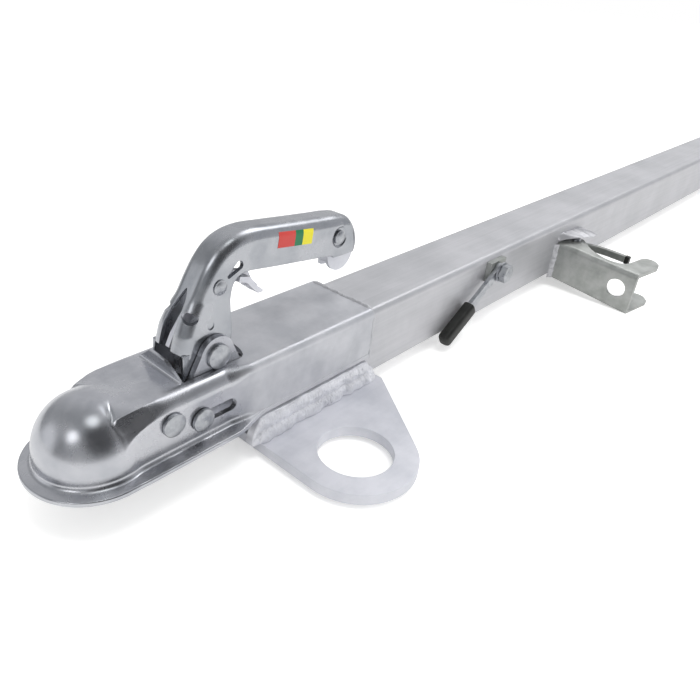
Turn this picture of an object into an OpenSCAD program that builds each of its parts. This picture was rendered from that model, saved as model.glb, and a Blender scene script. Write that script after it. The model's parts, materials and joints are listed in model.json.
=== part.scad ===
// Trailer drawbar: square tube, pressed ball coupling, side eye plate and clamp bracket.
// Origin: centre of the coupling ball. +X runs rearward along the tube, +Z is up.
// The eye plate, the clamp bracket and the side lever stand on the -Y side.

/* [Drawbar tube] */
// Outside width and height of the square tube
tube_w = 50; // [46:0.5:54]
// Wall of the square tube
tube_wall = 3; // [2:0.5:4]
// Outside corner radius of the tube
tube_corner = 4.5; // [3.5:0.5:6]
// Length of the tube
tube_len = 1000; // [800:10:1600]
// Distance from ball centre to the front end of the tube
tube_start = 118; // [114:1:124]
// How far the tube's centre line lies below the ball centre
tube_drop = 2.5; // [1.5:0.25:3.5]
// Diameter of the cross holes at the rear end
rear_hole_d = 12.5; // [8:0.5:16]
// Distance between the two rear cross holes
rear_hole_pitch = 100; // [60:5:160]
// Distance from the last cross hole to the rear end
rear_hole_edge = 40; // [25:1:60]

/* [Coupling housing] */
// Diameter of the coupling ball
ball_d = 50; // [49:0.5:51]
// Radial room between ball and dome
ball_room = 0.3; // [0.2:0.05:0.6]
// Sheet thickness of the pressed housing
sheet = 3; // [2.5:0.25:3.5]
// Outside half width of the neck behind the dome
neck_half = 27; // [26.5:0.25:27.5]
// Where the neck has its full box section
neck_start = 22; // [18:1:26]
// Where the neck starts to flare out to the socket
flare_start = 66; // [64:1:70]
// Where the square socket starts
socket_start = 80.5; // [76:0.5:90]
// Where the square socket ends
socket_end = 182; // [160:1:200]
// Height of the rim's underside below the ball centre
rim_drop = 9; // [8:0.5:10]
// Radius of the rim round the dome
rim_r = 35; // [33:0.5:38]
// Where the rim starts to run out into the socket
rim_taper_start = 60; // [50:1:64]
// Where the rim has run out
rim_taper_end = 92; // [84:1:100]
// Radius of the fillet between wall and rim
rim_fillet = 3; // [2:0.5:4]
// Outside radius of the housing's top corners
top_corner = 6; // [5:0.5:7]
// Front edge of the top opening
mouth_front = 42.5; // [41:0.25:43]
// Rear end of the top opening
mouth_rear = 87.5; // [87:0.25:90]
// Half width of the top opening
mouth_half = 17.6; // [17.5:0.1:19]
// Height of the upright lip at the front of the opening
lip_h = 9.6; // [8:0.1:10.5]
// Half width of the lip at its top
lip_top_half = 6.7; // [5:0.1:8]
// Half width of the lip at its foot
lip_foot_half = 18; // [16:0.5:20]

/* [Lock] */
// Distance from the ball's surface room to the jaw pin's centre
jaw_pin_gap = 4.2; // [3.5:0.1:5]
// Jaw pin height above the ball centre
jaw_pin_z = 12; // [11:0.5:13]
// Jaw pin diameter
jaw_pin_d = 9; // [8:0.5:10]
// Diameter of the peened heads of the side pins
side_head_d = 13; // [12:0.5:14]
// Thickness of the peened heads
head_t = 3; // [2:0.25:4]
// Slide pin place at rest
slide_pin_x = 47.2; // [46.5:0.1:48]
// Slide pin height above the ball centre
slide_pin_z = 6.5; // [6:0.25:7]
// Slide pin diameter
slide_pin_d = 7; // [6:0.5:7.5]
// Travel of the lock slide
slide_travel = 15; // [12:0.5:16]
// Radial play of the slide pin in its slots
slot_play = 0.3; // [0.25:0.05:0.6]
// Half width of the lock slide
slide_half = 7.2; // [6:0.1:7.4]
// Wire diameter of the lock spring
spring_wire = 2; // [1.6:0.1:2.4]
// Mean radius of the lock spring
spring_r = 5.8; // [5.4:0.1:6]
// Turns of the lock spring
spring_turns = 8; // [6:1:9]
// Half width of the jaw's foot
jaw_half = 13; // [11:0.25:13.2]
// Thickness of the jaw behind the ball
jaw_t = 6.5; // [5:0.25:7]

/* [Handle bracket] */
// Sheet of the inner bracket
bracket_sheet = 3.5; // [3:0.25:3.75]
// Outside half width of the inner bracket
bracket_half = 17.2; // [17:0.1:17.3]
// Front end of the bracket's cheeks
cheek_front = 21; // [20:0.5:22]
// Rear end of the bracket, which is the spring's seat
cheek_rear = 110; // [108:0.5:112]
// Handle pin place along the drawbar
handle_pin_x = 65.5; // [65:0.1:66]
// Handle pin height above the ball centre
handle_pin_z = 32.5; // [32:0.25:33]
// Handle pin diameter
handle_pin_d = 9; // [8:0.5:10]
// Diameter of the handle pin's heads
handle_head_d = 14; // [13:0.5:15]
// Radius of the ears round the handle pin
ear_r = 11; // [10:0.25:11.5]

/* [Handle] */
// Outside half width of the handle's grip
handle_half = 10.5; // [10.2:0.1:10.6]
// Outside half width of the handle's cheeks at its pin
cheek_half = 13.3; // [12.8:0.1:13.4]
// Sheet of the handle
handle_sheet = 2.5; // [2:0.1:2.6]
// Outside bend radius between the handle's web and sides
handle_bend = 7; // [5:0.25:7.5]
// Opening angle of the handle
handle_open = 35; // [25:1:35]
// Half width of the fork slot in the front of the handle
fork_half = 4.6; // [4:0.1:5]
// Height of the fork slot's upper end
fork_top = 64; // [60:1:66]
// End rivet place along the drawbar
end_rivet_x = 163; // [161:0.5:165]
// End rivet height above the ball centre
end_rivet_z = 72.5; // [71:0.5:74]
// Length of the coloured label
label_l = 27; // [20:0.5:30]
// Height of the coloured label
label_h = 9; // [6:0.25:9.5]

/* [Trigger] */
// Trigger pin place along the drawbar
trigger_x = 72.4; // [72:0.1:73]
// Trigger pin height above the ball centre
trigger_z = 66.8; // [66:0.1:67.5]
// Trigger pin diameter
trigger_pin_d = 6; // [5:0.25:6.5]
// Thickness of the trigger's sheet arms
trigger_t = 2.5; // [2:0.25:3]

/* [Eye plate] */
// Thickness of the eye plate
plate_t = 7; // [5:0.5:10]
// Eye centre along the drawbar
eye_x = 122; // [118:1:126]
// Distance of the eye centre from the drawbar's centre plane
eye_y = 71; // [66:1:80]
// Diameter of the eye
eye_d = 44; // [30:0.5:50]
// Outside radius of the plate round the eye
eye_r = 36.5; // [34:0.5:40]
// Rear end of the plate along the tube
plate_rear = 194; // [186:1:210]

/* [Clamp bracket] */
// Front face of the clamp bracket's web
clamp_x = 453.7; // [430:0.5:520]
// Reach of the web from the tube's side
clamp_reach = 79; // [77:0.5:84]
// Depth of the bracket's flanges
clamp_depth = 30; // [28:0.5:32]
// Sheet of the clamp bracket
clamp_sheet = 3.2; // [2.5:0.1:4]
// Height of the bracket's top face above the ball centre
clamp_top = 4; // [2:0.5:8]
// Height of the bracket where it meets the tube
clamp_h = 34; // [32:0.5:36]
// Downward slope of the lower flange in degrees
clamp_slope = 5; // [0:0.5:6]
// Diameter of the clamped support tube
leg_d = 48; // [42:0.5:49]
// Room round the support tube
leg_room = 0.6; // [0.4:0.1:1.5]
// Diameter of the hole in the web
web_hole_d = 16; // [10:0.5:18]
// Diameter of the strap's hinge pin
strap_pin_d = 6; // [5:0.5:7]
// Thickness of the clamp strap
strap_t = 4.5; // [3:0.5:5]
// Height of the clamp strap
strap_h = 6; // [5:0.5:8]
// Opening angle of the strap
strap_open = 50; // [10:1:55]

/* [Side lever] */
// Lever bolt place along the drawbar
lever_x = 336; // [300:1:380]
// Lever bolt height above the ball centre
lever_z = 11; // [6:0.5:12]
// Length of the lever from bolt to grip end
lever_l = 78; // [70:1:90]
// Angle of the lever below the level, towards the coupling
lever_angle = 31; // [20:1:40]
// Width of the lever's flat arm
arm_w = 10; // [8:0.5:12]
// Thickness of the lever's flat arm
arm_t = 3; // [2.5:0.5:4]
// Length of the grip
grip_l = 38; // [30:1:42]
// Diameter of the grip
grip_d = 11.5; // [10:0.5:12]
// Diameter of the lever bolt
bolt_d = 8; // [6:0.5:8]

/* [Hidden] */

eps = 0.01;
seat = 0.05;
run = 0.05;
apart = 0.3;

tube_half = tube_w / 2;
tube_top = tube_half - tube_drop;
tube_bottom = tube_top - tube_w;
tube_end = tube_start + tube_len;

socket_half = tube_half + seat + sheet;
socket_top = tube_top + seat + sheet;
rim_top = -rim_drop + sheet;
dome_in = ball_d / 2 + ball_room;
dome_r = dome_in + sheet;
jaw_pin_x = dome_in + jaw_pin_gap;
joint_r = dome_r - 0.8;
roof_in = socket_top - sheet;
neck_in = neck_half - sheet;
inner_corner = top_corner - sheet;

bracket_in = bracket_half - bracket_sheet;
spring_front = slide_pin_x + 11;
spring_rear = cheek_rear - bracket_sheet;

pin_at = [handle_pin_x, handle_pin_z];
lock_at = [slide_pin_x, slide_pin_z];
end_plate_half = handle_half - handle_sheet - 1.2;

clamp_y = -tube_half - clamp_reach;
leg_r = leg_d / 2 + leg_room;
leg_x = clamp_x + clamp_sheet + leg_r + 0.5;
leg_y = -tube_half - 40;
flange_rear = clamp_x + clamp_depth;
lobe_y = clamp_y - 4;
strap_pin_x = clamp_x + 23.6;
strap_pin_y = -tube_half - 7.5;
clamp_mid = clamp_top - clamp_h / 2 - 2;
strap_low = clamp_top - clamp_sheet - 0.4 - strap_h;

pad_t = 4.5;
arm_y = -tube_half - pad_t - apart;

// A point turned about the origin by an angle, positive from +X towards +Z
function turned(p, a) = [p[0] * cos(a) - p[1] * sin(a), p[0] * sin(a) + p[1] * cos(a)];
// Place of the slide pin in the handle's own frame once the handle has turned by a
function slide_in_handle(a) =
    pin_at + turned(lock_at + [slide_travel * a / handle_open, 0] - pin_at, -a);
// Point number n of a smooth curve through four rows of values
function smooth(p0, p1, p2, p3, t) =
    0.5 * ((2 * p1) + (p2 - p0) * t + (2 * p0 - 5 * p1 + 4 * p2 - p3) * t * t
    + (3 * p1 - p0 - 3 * p2 + p3) * t * t * t);
function rows_between(rows, cuts) = [
    for (i = [0:len(rows) - 2], k = [0:cuts - 1])
        smooth(rows[max(i - 1, 0)], rows[i], rows[i + 1], rows[min(i + 2, len(rows) - 1)], k / cuts),
    rows[len(rows) - 1]];
function arc_points(c, r, a0, a1, n) =
    [for (i = [0:n]) let (a = a0 + (a1 - a0) * i / n) c + r * [cos(a), sin(a)]];

// Points of an outline in counterclockwise order
function turned_left(p) = let (n = len(p),
    twice = [for (i = [0:n - 1]) p[i][0] * p[(i + 1) % n][1] - p[(i + 1) % n][0] * p[i][1]])
    twice * [for (i = twice) 1] > 0 ? p : [for (i = [n - 1:-1:0]) p[i]];
module outline(p) { polygon(turned_left(p)); }
// A closed skin of triangles, turned so that every face looks outward
module skin(points, faces) {
    six = [for (f = faces) cross(points[f[0]], points[f[1]]) * points[f[2]]];
    polyhedron(points = points,
        faces = six * [for (i = six) 1] < 0 ? faces : [for (f = faces) [f[0], f[2], f[1]]]);
}
// A solid through a row of rings that have the same number of points
module loft(rings) {
    m = len(rings[0]);
    n = len(rings);
    walls = [for (i = [0:n - 2], k = [0:m - 1], h = [0, 1])
        let (a = i * m + k, b = i * m + (k + 1) % m) h == 0 ? [a, b, a + m] : [b, b + m, a + m]];
    first = [for (k = [1:m - 2]) [0, k + 1, k]];
    skin([for (r = rings, p = r) p],
        concat(walls, first, [for (f = first) [(n - 1) * m + f[0], (n - 1) * m + f[2], (n - 1) * m + f[1]]]));
}
// Lays a drawing in x and z flat on the XZ plane and gives it a thickness across, centred on y
module across(y, t) { translate([0, y + t / 2, 0]) rotate([90, 0, 0]) linear_extrude(t) children(); }
// The same for both sides of the centre plane, between the half widths y0 and y1
module both_sides(y0, y1) {
    across((y0 + y1) / 2, y1 - y0) children();
    across(-(y0 + y1) / 2, y1 - y0) children();
}
// Lays a drawing in y and z on the YZ plane and extrudes it rearward from x
module along(x, l) { translate([x, 0, 0]) rotate([90, 0, 90]) linear_extrude(l) children(); }
module bar_y(x, z, r, y0, y1) {
    translate([x, y0, z]) rotate([-90, 0, 0]) cylinder(r = r, h = y1 - y0, $fn = 48);
}
// A closed slot between two points of the XZ plane
module slot(a, b, r) {
    way = atan2(b[1] - a[1], b[0] - a[0]);
    outline(concat(arc_points(a, r, way + 90, way + 270, 12), arc_points(b, r, way - 90, way + 90, 12)));
}
// A square section with round corners
module round_square(w, h, r) {
    translate([-w / 2 + r, 0]) square([w - 2 * r, h]);
    translate([-w / 2, r]) square([w, h - 2 * r]);
    for (x = [-w / 2 + r, w / 2 - r], y = [r, h - r]) translate([x, y]) circle(r, $fn = 40);
}
// Ring of the housing's section at x: upright sides and round upper corners of eight chords
function hood_ring(x, half, top, bottom, r) = concat([[x, -half, bottom]],
    [for (i = [0:8]) [x, -half + r - r * cos(90 * i / 8), top - r + r * sin(90 * i / 8)]],
    [for (i = [0:8]) [x, half - r + r * sin(90 * i / 8), top - r + r * cos(90 * i / 8)]],
    [[x, half, bottom]]);
module hood(half, top, bottom, r) {
    outline([for (p = hood_ring(0, half, top, bottom, r)) [p[1], p[2]]]);
}
// A peened pin across the drawbar: shank and two low domed heads
module peened_pin(x, z, d, head_d, grip_half, lift) {
    bar_y(x, z, d / 2, -grip_half - lift - eps, grip_half + lift + eps);
    for (s = [-1, 1])
        translate([x, s * (grip_half + lift), z]) rotate([-90 * s, 0, 0]) rotate_extrude($fn = 48)
            peened_half(head_d / 2);
}
module peened_half(r) {
    square([r, head_t * 0.55]);
    intersection() {
        translate([0, head_t - 3.2 * r]) circle(3.2 * r, $fn = 96);
        translate([0, head_t * 0.5]) square([r, head_t]);
    }
}
// One open coil along +Z, an unbroken tube of six sides, from a formula
module coil(r, wire, turns, height, closed) {
    steps = 8 * turns;
    rise = height - 2 * closed;
    centre = [for (i = [0:steps]) let (u = i / steps, a = 360 * turns * u, k = closed / height,
        z = u < 1 / turns ? closed * u * turns
            : (u > 1 - 1 / turns ? height - closed * (1 - u) * turns
            : closed + rise * (u - 1 / turns) / (1 - 2 / turns)))
        [r * cos(a), r * sin(a), z, a]];
    pts = [for (c = centre, k = [0:5])
        [(r + wire / 2 * cos(60 * k)) * cos(c[3]), (r + wire / 2 * cos(60 * k)) * sin(c[3]),
            c[2] + wire / 2 * sin(60 * k)]];
    n = len(centre);
    walls = [for (i = [0:n - 2], k = [0:5], h = [0, 1]) let (a = 6 * i + k, b = 6 * i + (k + 1) % 6)
        h == 0 ? [a, a + 6, b] : [b, a + 6, b + 6]];
    ends = concat([for (k = [1:4]) [0, k, k + 1]],
        [for (k = [1:4]) [6 * (n - 1), 6 * (n - 1) + k + 1, 6 * (n - 1) + k]]);
    skin(pts, concat(walls, ends));
    gap = min([for (i = [0:n - 9]) norm([centre[i][0], centre[i][1], centre[i][2]]
        - [centre[i + 8][0], centre[i + 8][1], centre[i + 8][2]]) - wire]);
    echo(coil_gap_mm = gap);
}

module drawbar_tube() {
    color("#b9bcc0") difference() {
        along(tube_start, tube_len) translate([0, tube_bottom]) round_square(tube_w, tube_w, tube_corner);
        along(tube_start - 1, tube_len + 2) translate([0, tube_bottom + tube_wall])
            round_square(tube_w - 2 * tube_wall, tube_w - 2 * tube_wall, tube_corner - tube_wall + 0.5);
        for (i = [0, 1])
            bar_y(tube_end - rear_hole_edge - i * rear_hole_pitch, -tube_drop, rear_hole_d / 2,
                -tube_w, tube_w);
        bar_y(lever_x, lever_z, bolt_d / 2 + seat, -tube_w, 0);
    }
}

// The neck grows out of the dome, levels off, then flares out to the square socket
function eased(u) = 1 - pow(1 - u, 1.5);
function neck_ring(u, t, bottom) = let (e = eased(u))
    hood_ring(neck_start * u, joint_r + (neck_half - joint_r) * e - t, joint_r + (socket_top - joint_r) * e - t,
        bottom, joint_r + (top_corner - joint_r) * e - t);
module dome_drawing(r, bottom) {
    intersection() {
        circle(r, $fn = 96);
        square(2 * r);
    }
    translate([0, bottom]) square([r, -bottom]);
}
module housing_outside() {
    rotate_extrude($fn = 96) dome_drawing(dome_r, -rim_drop);
    loft(concat([for (u = [0:0.25:1]) neck_ring(u, 0, -rim_drop)],
        [hood_ring(flare_start, neck_half, socket_top, -rim_drop, top_corner),
        hood_ring(socket_start, socket_half, socket_top, -rim_drop, top_corner),
        hood_ring(socket_end, socket_half, socket_top, -rim_drop, top_corner)]));
}
module housing_inside() {
    below = -rim_drop - 1;
    rotate_extrude($fn = 96) dome_drawing(dome_in, below);
    loft(concat([for (u = [0:0.25:1]) neck_ring(u, sheet, below)],
        [hood_ring(flare_start, neck_in, roof_in, below, inner_corner),
        hood_ring(socket_start, tube_half + seat, roof_in, below, tube_corner),
        hood_ring(socket_end + 2, tube_half + seat, roof_in, below, tube_corner)]));
}
// Plan of the rim: half circle at the front, then sides that run out into the socket
module rim_plan() {
    taper = [for (i = [0:8]) let (u = i / 8)
        [rim_taper_start + (rim_taper_end - rim_taper_start) * u,
            socket_half - 0.2 + (rim_r - socket_half + 0.2) * (1 + cos(180 * u)) / 2]];
    circle(rim_r, $fn = 96);
    outline(concat([[0, rim_r]], taper, [for (i = [8:-1:0]) [taper[i][0], -taper[i][1]]], [[0, -rim_r]]));
}
module fillet_drawing(r) {
    outline(concat([[-0.5, -0.5], [r, -0.5]], [for (i = [0:4]) [r - r * sin(22.5 * i), r - r * cos(22.5 * i)]],
        [[-0.5, r]]));
}
module mouth_plan() {
    bow = [[-6, 1], [-3, 0.86], [-1.1, 0.58], [0, 0.2]];
    outline(concat([[mouth_front, mouth_half]], [for (p = bow) [mouth_rear + p[0], mouth_half * p[1]]],
        [for (i = [3:-1:0]) [mouth_rear + bow[i][0], -mouth_half * bow[i][1]]], [[mouth_front, -mouth_half]]));
}
module coupling_housing() {
    color("#c2c5ca") difference() {
        union() {
            housing_outside();
            translate([0, 0, -rim_drop]) linear_extrude(sheet) rim_plan();
            translate([0, 0, rim_top]) rotate([0, 0, 90]) rotate_extrude(angle = 180, $fn = 96)
                translate([dome_r, 0]) fillet_drawing(rim_fillet);
            for (s = [-1, 1]) translate([0, s * neck_half, rim_top])
                mirror([0, s < 0 ? 1 : 0, 0]) along(0, rim_taper_start) fillet_drawing(rim_fillet);
            along(mouth_front - 2.6, 2) outline([[-lip_foot_half, socket_top - 1],
                [-lip_foot_half, socket_top + 0.6], [-lip_top_half, socket_top + lip_h],
                [lip_top_half, socket_top + lip_h], [lip_foot_half, socket_top + 0.6],
                [lip_foot_half, socket_top - 1]]);
        }
        housing_inside();
        translate([0, 0, roof_in - 6]) linear_extrude(sheet + 6 + 2) mouth_plan();
        bar_y(jaw_pin_x, jaw_pin_z, jaw_pin_d / 2 + seat, -tube_w, tube_w);
        across(0, 2 * tube_w)
            slot(lock_at, lock_at + [slide_travel + 4, 0], slide_pin_d / 2 + slot_play);
    }
}

module sleeve_weld() {
    bead = 2.4;
    color("#a7a9ab") difference() {
        along(socket_end, bead) hood(tube_half + bead, tube_top + bead, -rim_drop, tube_corner + bead);
        along(socket_end - 1, bead + 2) hood(tube_half, tube_top, -rim_drop - 1, tube_corner);
        along(socket_end + bead, 1) square(200, center = true);
    }
}

module plate_plan() {
    left_x = eye_x - eye_r;
    slant = [plate_rear - eye_x, eye_y - tube_half - 8];
    run_l = norm(slant);
    lean = atan2(slant[1], slant[0]);
    tangent = acos(eye_r / run_l);
    touch = lean - 90 + (90 - tangent);
    side = [eye_x + eye_r * cos(lean - tangent), -eye_y + eye_r * sin(lean - tangent)];
    translate([eye_x, -eye_y]) circle(eye_r, $fn = 96);
    outline([[left_x, -eye_y], side, [plate_rear, -tube_half - 8], [plate_rear, tube_half + 2],
        [left_x, tube_half + 2]]);
}
module eye_plate() {
    color("#c9cbd0") difference() {
        translate([0, 0, tube_bottom - plate_t]) linear_extrude(plate_t) plate_plan();
        translate([eye_x, -eye_y, tube_bottom - plate_t - 1]) cylinder(d = eye_d, h = plate_t + 2, $fn = 96);
    }
}

module eye_plate_weld() {
    front = eye_x - eye_r + 1;
    rear = plate_rear - 2;
    toe = tube_half + sheet + 5;
    color("#a7a9ab") along(front, rear - front) {
        outline([[-tube_half - eps * 5, tube_bottom], [-toe, tube_bottom], [-toe + 1.5, tube_bottom + 5],
            [-socket_half - 0.6, -rim_drop - 5], [-socket_half + 0.4, -rim_drop - eps],
            [-tube_half - eps * 5, -rim_drop - eps]]);
        outline([[tube_half + eps * 5, tube_bottom], [tube_half + 1.8, tube_bottom],
            [tube_half + 1.2, tube_bottom + 4], [tube_half + eps * 5, tube_bottom + 6]]);
    }
}

module bracket_plan() {
    difference() {
        translate([cheek_front, -bracket_half]) square([cheek_rear - 6 - cheek_front, 2 * bracket_half]);
        translate([cheek_front - 1, -bracket_in]) square([cheek_rear - cheek_front, 2 * bracket_in]);
    }
    difference() {
        union() {
            translate([cheek_rear - 6, -bracket_half + 6]) square([6, 2 * bracket_half - 12]);
            for (s = [-1, 1]) translate([cheek_rear - 6, s * (bracket_half - 6)]) circle(6, $fn = 40);
        }
        translate([cheek_rear - 20, -bracket_in]) square([20 - bracket_sheet - 3, 2 * bracket_in]);
        translate([cheek_rear - 20, -bracket_in + 3]) square([20 - bracket_sheet, 2 * bracket_in - 6]);
        for (s = [-1, 1]) translate([cheek_rear - bracket_sheet - 3, s * (bracket_in - 3)])
            circle(3, $fn = 32);
    }
}
module bracket_side() {
    foot = -4;
    outline([[cheek_front, foot], [cheek_front, 16], [cheek_front + 5, roof_in - seat],
        [mouth_front + 5.2, roof_in - seat], [handle_pin_x - ear_r + 0.4, handle_pin_z + 3],
        [handle_pin_x, handle_pin_z], [handle_pin_x + ear_r * 0.82, handle_pin_z + ear_r * 0.56],
        [mouth_rear - 7, roof_in + 3], [mouth_rear - 5, roof_in - seat],
        [cheek_rear, roof_in - seat], [cheek_rear, foot]]);
    translate(pin_at) circle(ear_r, $fn = 64);
}
module handle_bracket() {
    color("#b4b8bd") difference() {
        intersection() {
            translate([0, 0, -20]) linear_extrude(80) bracket_plan();
            across(0, 3 * bracket_half) bracket_side();
        }
        bar_y(jaw_pin_x, jaw_pin_z, jaw_pin_d / 2 + seat, -tube_w, tube_w);
        bar_y(handle_pin_x, handle_pin_z, handle_pin_d / 2 + seat, -tube_w, tube_w);
        across(0, 2 * tube_w)
            slot(lock_at, lock_at + [slide_travel + 4, 0], slide_pin_d / 2 + slot_play);
    }
}

module jaw_pin() {
    color("#c5c8cc") peened_pin(jaw_pin_x, jaw_pin_z, jaw_pin_d, side_head_d, neck_half, 0);
}
module handle_pin() {
    color("#c5c8cc") peened_pin(handle_pin_x, handle_pin_z, handle_pin_d, handle_head_d, bracket_half, 0);
}

module slide_pin() {
    color("#c5c8cc")
        peened_pin(slide_pin_x, slide_pin_z, slide_pin_d, side_head_d, neck_half, apart);
}
module lock_slide() {
    nose = jaw_pin_x + 7.3;
    color("#8d9196") {
        difference() {
            across(0, 2 * slide_half) outline([[nose, -1], [nose, 9], [nose + 3, 13],
                [spring_front, 13], [spring_front, 0], [spring_front - 3, -3], [nose + 3, -3]]);
            bar_y(slide_pin_x, slide_pin_z, slide_pin_d / 2 + seat, -tube_w, tube_w);
        }
        translate([spring_front - eps, 0, slide_pin_z - 0.5]) rotate([0, 90, 0])
            cylinder(r = spring_r - spring_wire / 2 - 0.6, h = 12, $fn = 40);
    }
}
module lock_spring() {
    gap = 0.1;
    color("#6f7378") translate([spring_front + spring_wire / 2 + gap, 0, slide_pin_z - 0.5])
        rotate([0, 90, 0]) coil(spring_r, spring_wire, spring_turns,
            spring_rear - spring_front - spring_wire - 2 * gap, spring_wire + 0.5);
}
module locking_jaw() {
    eye_r_in = 7;
    color("#8d9196") difference() {
        union() {
            across(0, 2 * slide_half) translate([jaw_pin_x, jaw_pin_z]) circle(eye_r_in, $fn = 48);
            across(0, 2 * slide_half) outline([[jaw_pin_x - 6, jaw_pin_z + 2], [jaw_pin_x + 6.4, jaw_pin_z - 2.8],
                [32.5, -2], [24, -2]]);
            intersection() {
                across(0, 2 * jaw_half) outline([[20, 3], [34, 3], [34, -rim_drop - 2.5], [20, -rim_drop - 2.5]]);
                sphere(dome_in + jaw_t, $fn = 96);
            }
        }
        sphere(dome_in, $fn = 96);
        bar_y(jaw_pin_x, jaw_pin_z, jaw_pin_d / 2 + run, -tube_w, tube_w);
    }
}

// Handle stations: x and z of the web's outer face, x and z of the free edge, and the half width
handle_rows = [
    [44.8, 37.5, 76, 19, cheek_half],
    [46, 42.2, 77, 30, cheek_half],
    [48.2, 48.6, 78.4, 42, cheek_half - 0.1],
    [52.2, 55.4, 79, 52, (handle_half + cheek_half) / 2],
    [57.4, 62.7, 79.6, 59, handle_half],
    [62.4, 71.2, 80.8, 64.5, handle_half],
    [67.9, 79.2, 83, 68, handle_half],
    [74.8, 86, 86, 70, handle_half],
    [84, 90.4, 90.5, 70.6, handle_half],
    [96.1, 91.8, 97, 70, handle_half],
    [112.2, 90.3, 110, 68.2, handle_half],
    [130.3, 88.3, 128, 66, handle_half],
    [150.3, 86.2, 147, 63.6, handle_half],
    [163, 84.9, 153, 62.8, handle_half],
    [172.8, 82.4, 155.5, 62.4, handle_half],
    [179.2, 75.3, 157, 62, handle_half],
    [181.9, 67, 158, 61.4, handle_half],
    [181.2, 60.3, 158.5, 60.8, handle_half]];
// Half of the pressed section: place across and depth below the web, for the outer or inner face
function section_half(depth, inset, half) = concat(
    [[half - inset, depth]],
    [for (i = [0:5]) let (a = 90 * i / 5, r = handle_bend - inset)
        [half - handle_bend + r * cos(a), handle_bend - r * sin(a)]]);
function section_ring(depth, half) = let (o = section_half(depth, 0, half),
    i = section_half(depth, handle_sheet, half))
    concat(o, [for (k = [6:-1:0]) [-o[k][0], o[k][1]]], [for (k = [0:6]) [-i[k][0], i[k][1]]],
    [for (k = [6:-1:0]) i[k]]);
module pressed_sweep(rows) {
    rings = [for (s = rows) let (o = [s[0], s[1]], e = [s[2], s[3]], d = norm(e - o), v = (e - o) / d)
        [for (p = section_ring(d, s[4])) [o[0] + v[0] * p[1], p[0], o[1] + v[1] * p[1]]]];
    m = len(rings[0]);
    n = len(rings);
    half = m / 2;
    last = (n - 1) * m;
    walls = [for (i = [0:n - 2], k = [0:m - 1], h = [0, 1])
        let (a = i * m + k, b = i * m + (k + 1) % m) h == 0 ? [a, b, a + m] : [b, b + m, a + m]];
    cap = [for (k = [0:half - 2], h = [0, 1]) h == 0 ? [k, m - 1 - k, k + 1] : [k + 1, m - 1 - k, m - 2 - k]];
    skin([for (r = rings, p = r) p],
        concat(walls, cap, [for (f = cap) [last + f[0], last + f[2], last + f[1]]]));
}
// Lower arms of the handle, which reach down and carry the slide pin in their slots
module arm_drawing() {
    translate(lock_at) circle(slide_pin_d / 2 + 4, $fn = 48);
    outline([[lock_at[0] - 7.4, lock_at[1] - 1], [lock_at[0] - 8.6, 14], [mouth_front + 0.8, roof_in - 1.5],
        [mouth_front + 0.8, 36], [47, 40], [72, 38], [74, 24], [60, 18], [lock_at[0] + 7.3, lock_at[1] - 1]]);
}
module coupling_handle() {
    slot_a = slide_in_handle(0);
    slot_b = slide_in_handle(handle_open);
    bow = norm(slide_in_handle(handle_open / 2) - (slot_a + slot_b) / 2);
    color("#cfd2d6") difference() {
        union() {
            pressed_sweep(rows_between(handle_rows, 2));
            both_sides(cheek_half - handle_sheet + seat, cheek_half - seat) arm_drawing();
            both_sides(end_plate_half + seat, handle_half - handle_sheet + 0.5)
                translate([end_rivet_x, end_rivet_z]) circle(5.4, $fn = 48);
        }
        along(20, 42) {
            translate([-fork_half, -10]) square([2 * fork_half, fork_top - fork_half + 10]);
            translate([0, fork_top - fork_half]) circle(fork_half, $fn = 40);
        }
        bar_y(handle_pin_x, handle_pin_z, handle_pin_d / 2 + run, -tube_w, tube_w);
        across(0, tube_w) slot(slot_a, slot_b, slide_pin_d / 2 + apart + bow * 0.45);
        bar_y(trigger_x, trigger_z, trigger_pin_d / 2 + seat, -tube_w, tube_w);
        bar_y(end_rivet_x, end_rivet_z, 3 + seat, -tube_w, tube_w);
        for (s = [-1, 1]) translate([end_rivet_x, s * (handle_half + eps), end_rivet_z])
            rotate([90 * s, 0, 0]) cylinder(r1 = 6.6, r2 = 5.6, h = 0.9, $fn = 48);
        across(0, tube_w) outline(concat(arc_points([85, 75.4], 2.6, 312.5, 472.5, 10),
            arc_points([78.4, 71.2], 1.1, 122.5, 302.5, 5)));
        for (s = [-1, 1]) translate([53.6, s * 9.6, 54.4]) rotate([0, 0, s * 45]) rotate([0, -90, 0])
            linear_extrude(9, center = true)
            outline([for (a = [15:30:345]) [2.7 * cos(a), 4.4 * sin(a)]]);
        for (s = [-1, 1]) translate([64.7, s * (cheek_half + 0.4), 48.3])
            rotate([90 * s, 0, 0]) cylinder(r = 2.4, h = 2, $fn = 32);
    }
}
module handle_end_plate() {
    inner = end_plate_half;
    tab_x = 166;
    tab_z = 63.2;
    tab_r = 11;
    color("#c2c5ca") difference() {
        across(0, 2 * inner) {
            translate([tab_x, tab_z]) circle(tab_r, $fn = 64);
            translate([end_rivet_x, end_rivet_z]) circle(6, $fn = 48);
            outline([[tab_x - tab_r, tab_z], [end_rivet_x - 6, end_rivet_z],
                [end_rivet_x + 6, end_rivet_z], [tab_x + tab_r, tab_z]]);
        }
        across(0, 2 * (inner - 2.2)) translate([tab_x - tab_r + 2.6, tab_z - 30]) square(60);
        across(0, 2 * (inner - 2.2)) translate([end_rivet_x - 8, end_rivet_z - 2]) square(20);
        bar_y(end_rivet_x, end_rivet_z, 3 + seat, -tube_w, tube_w);
    }
}
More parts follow.
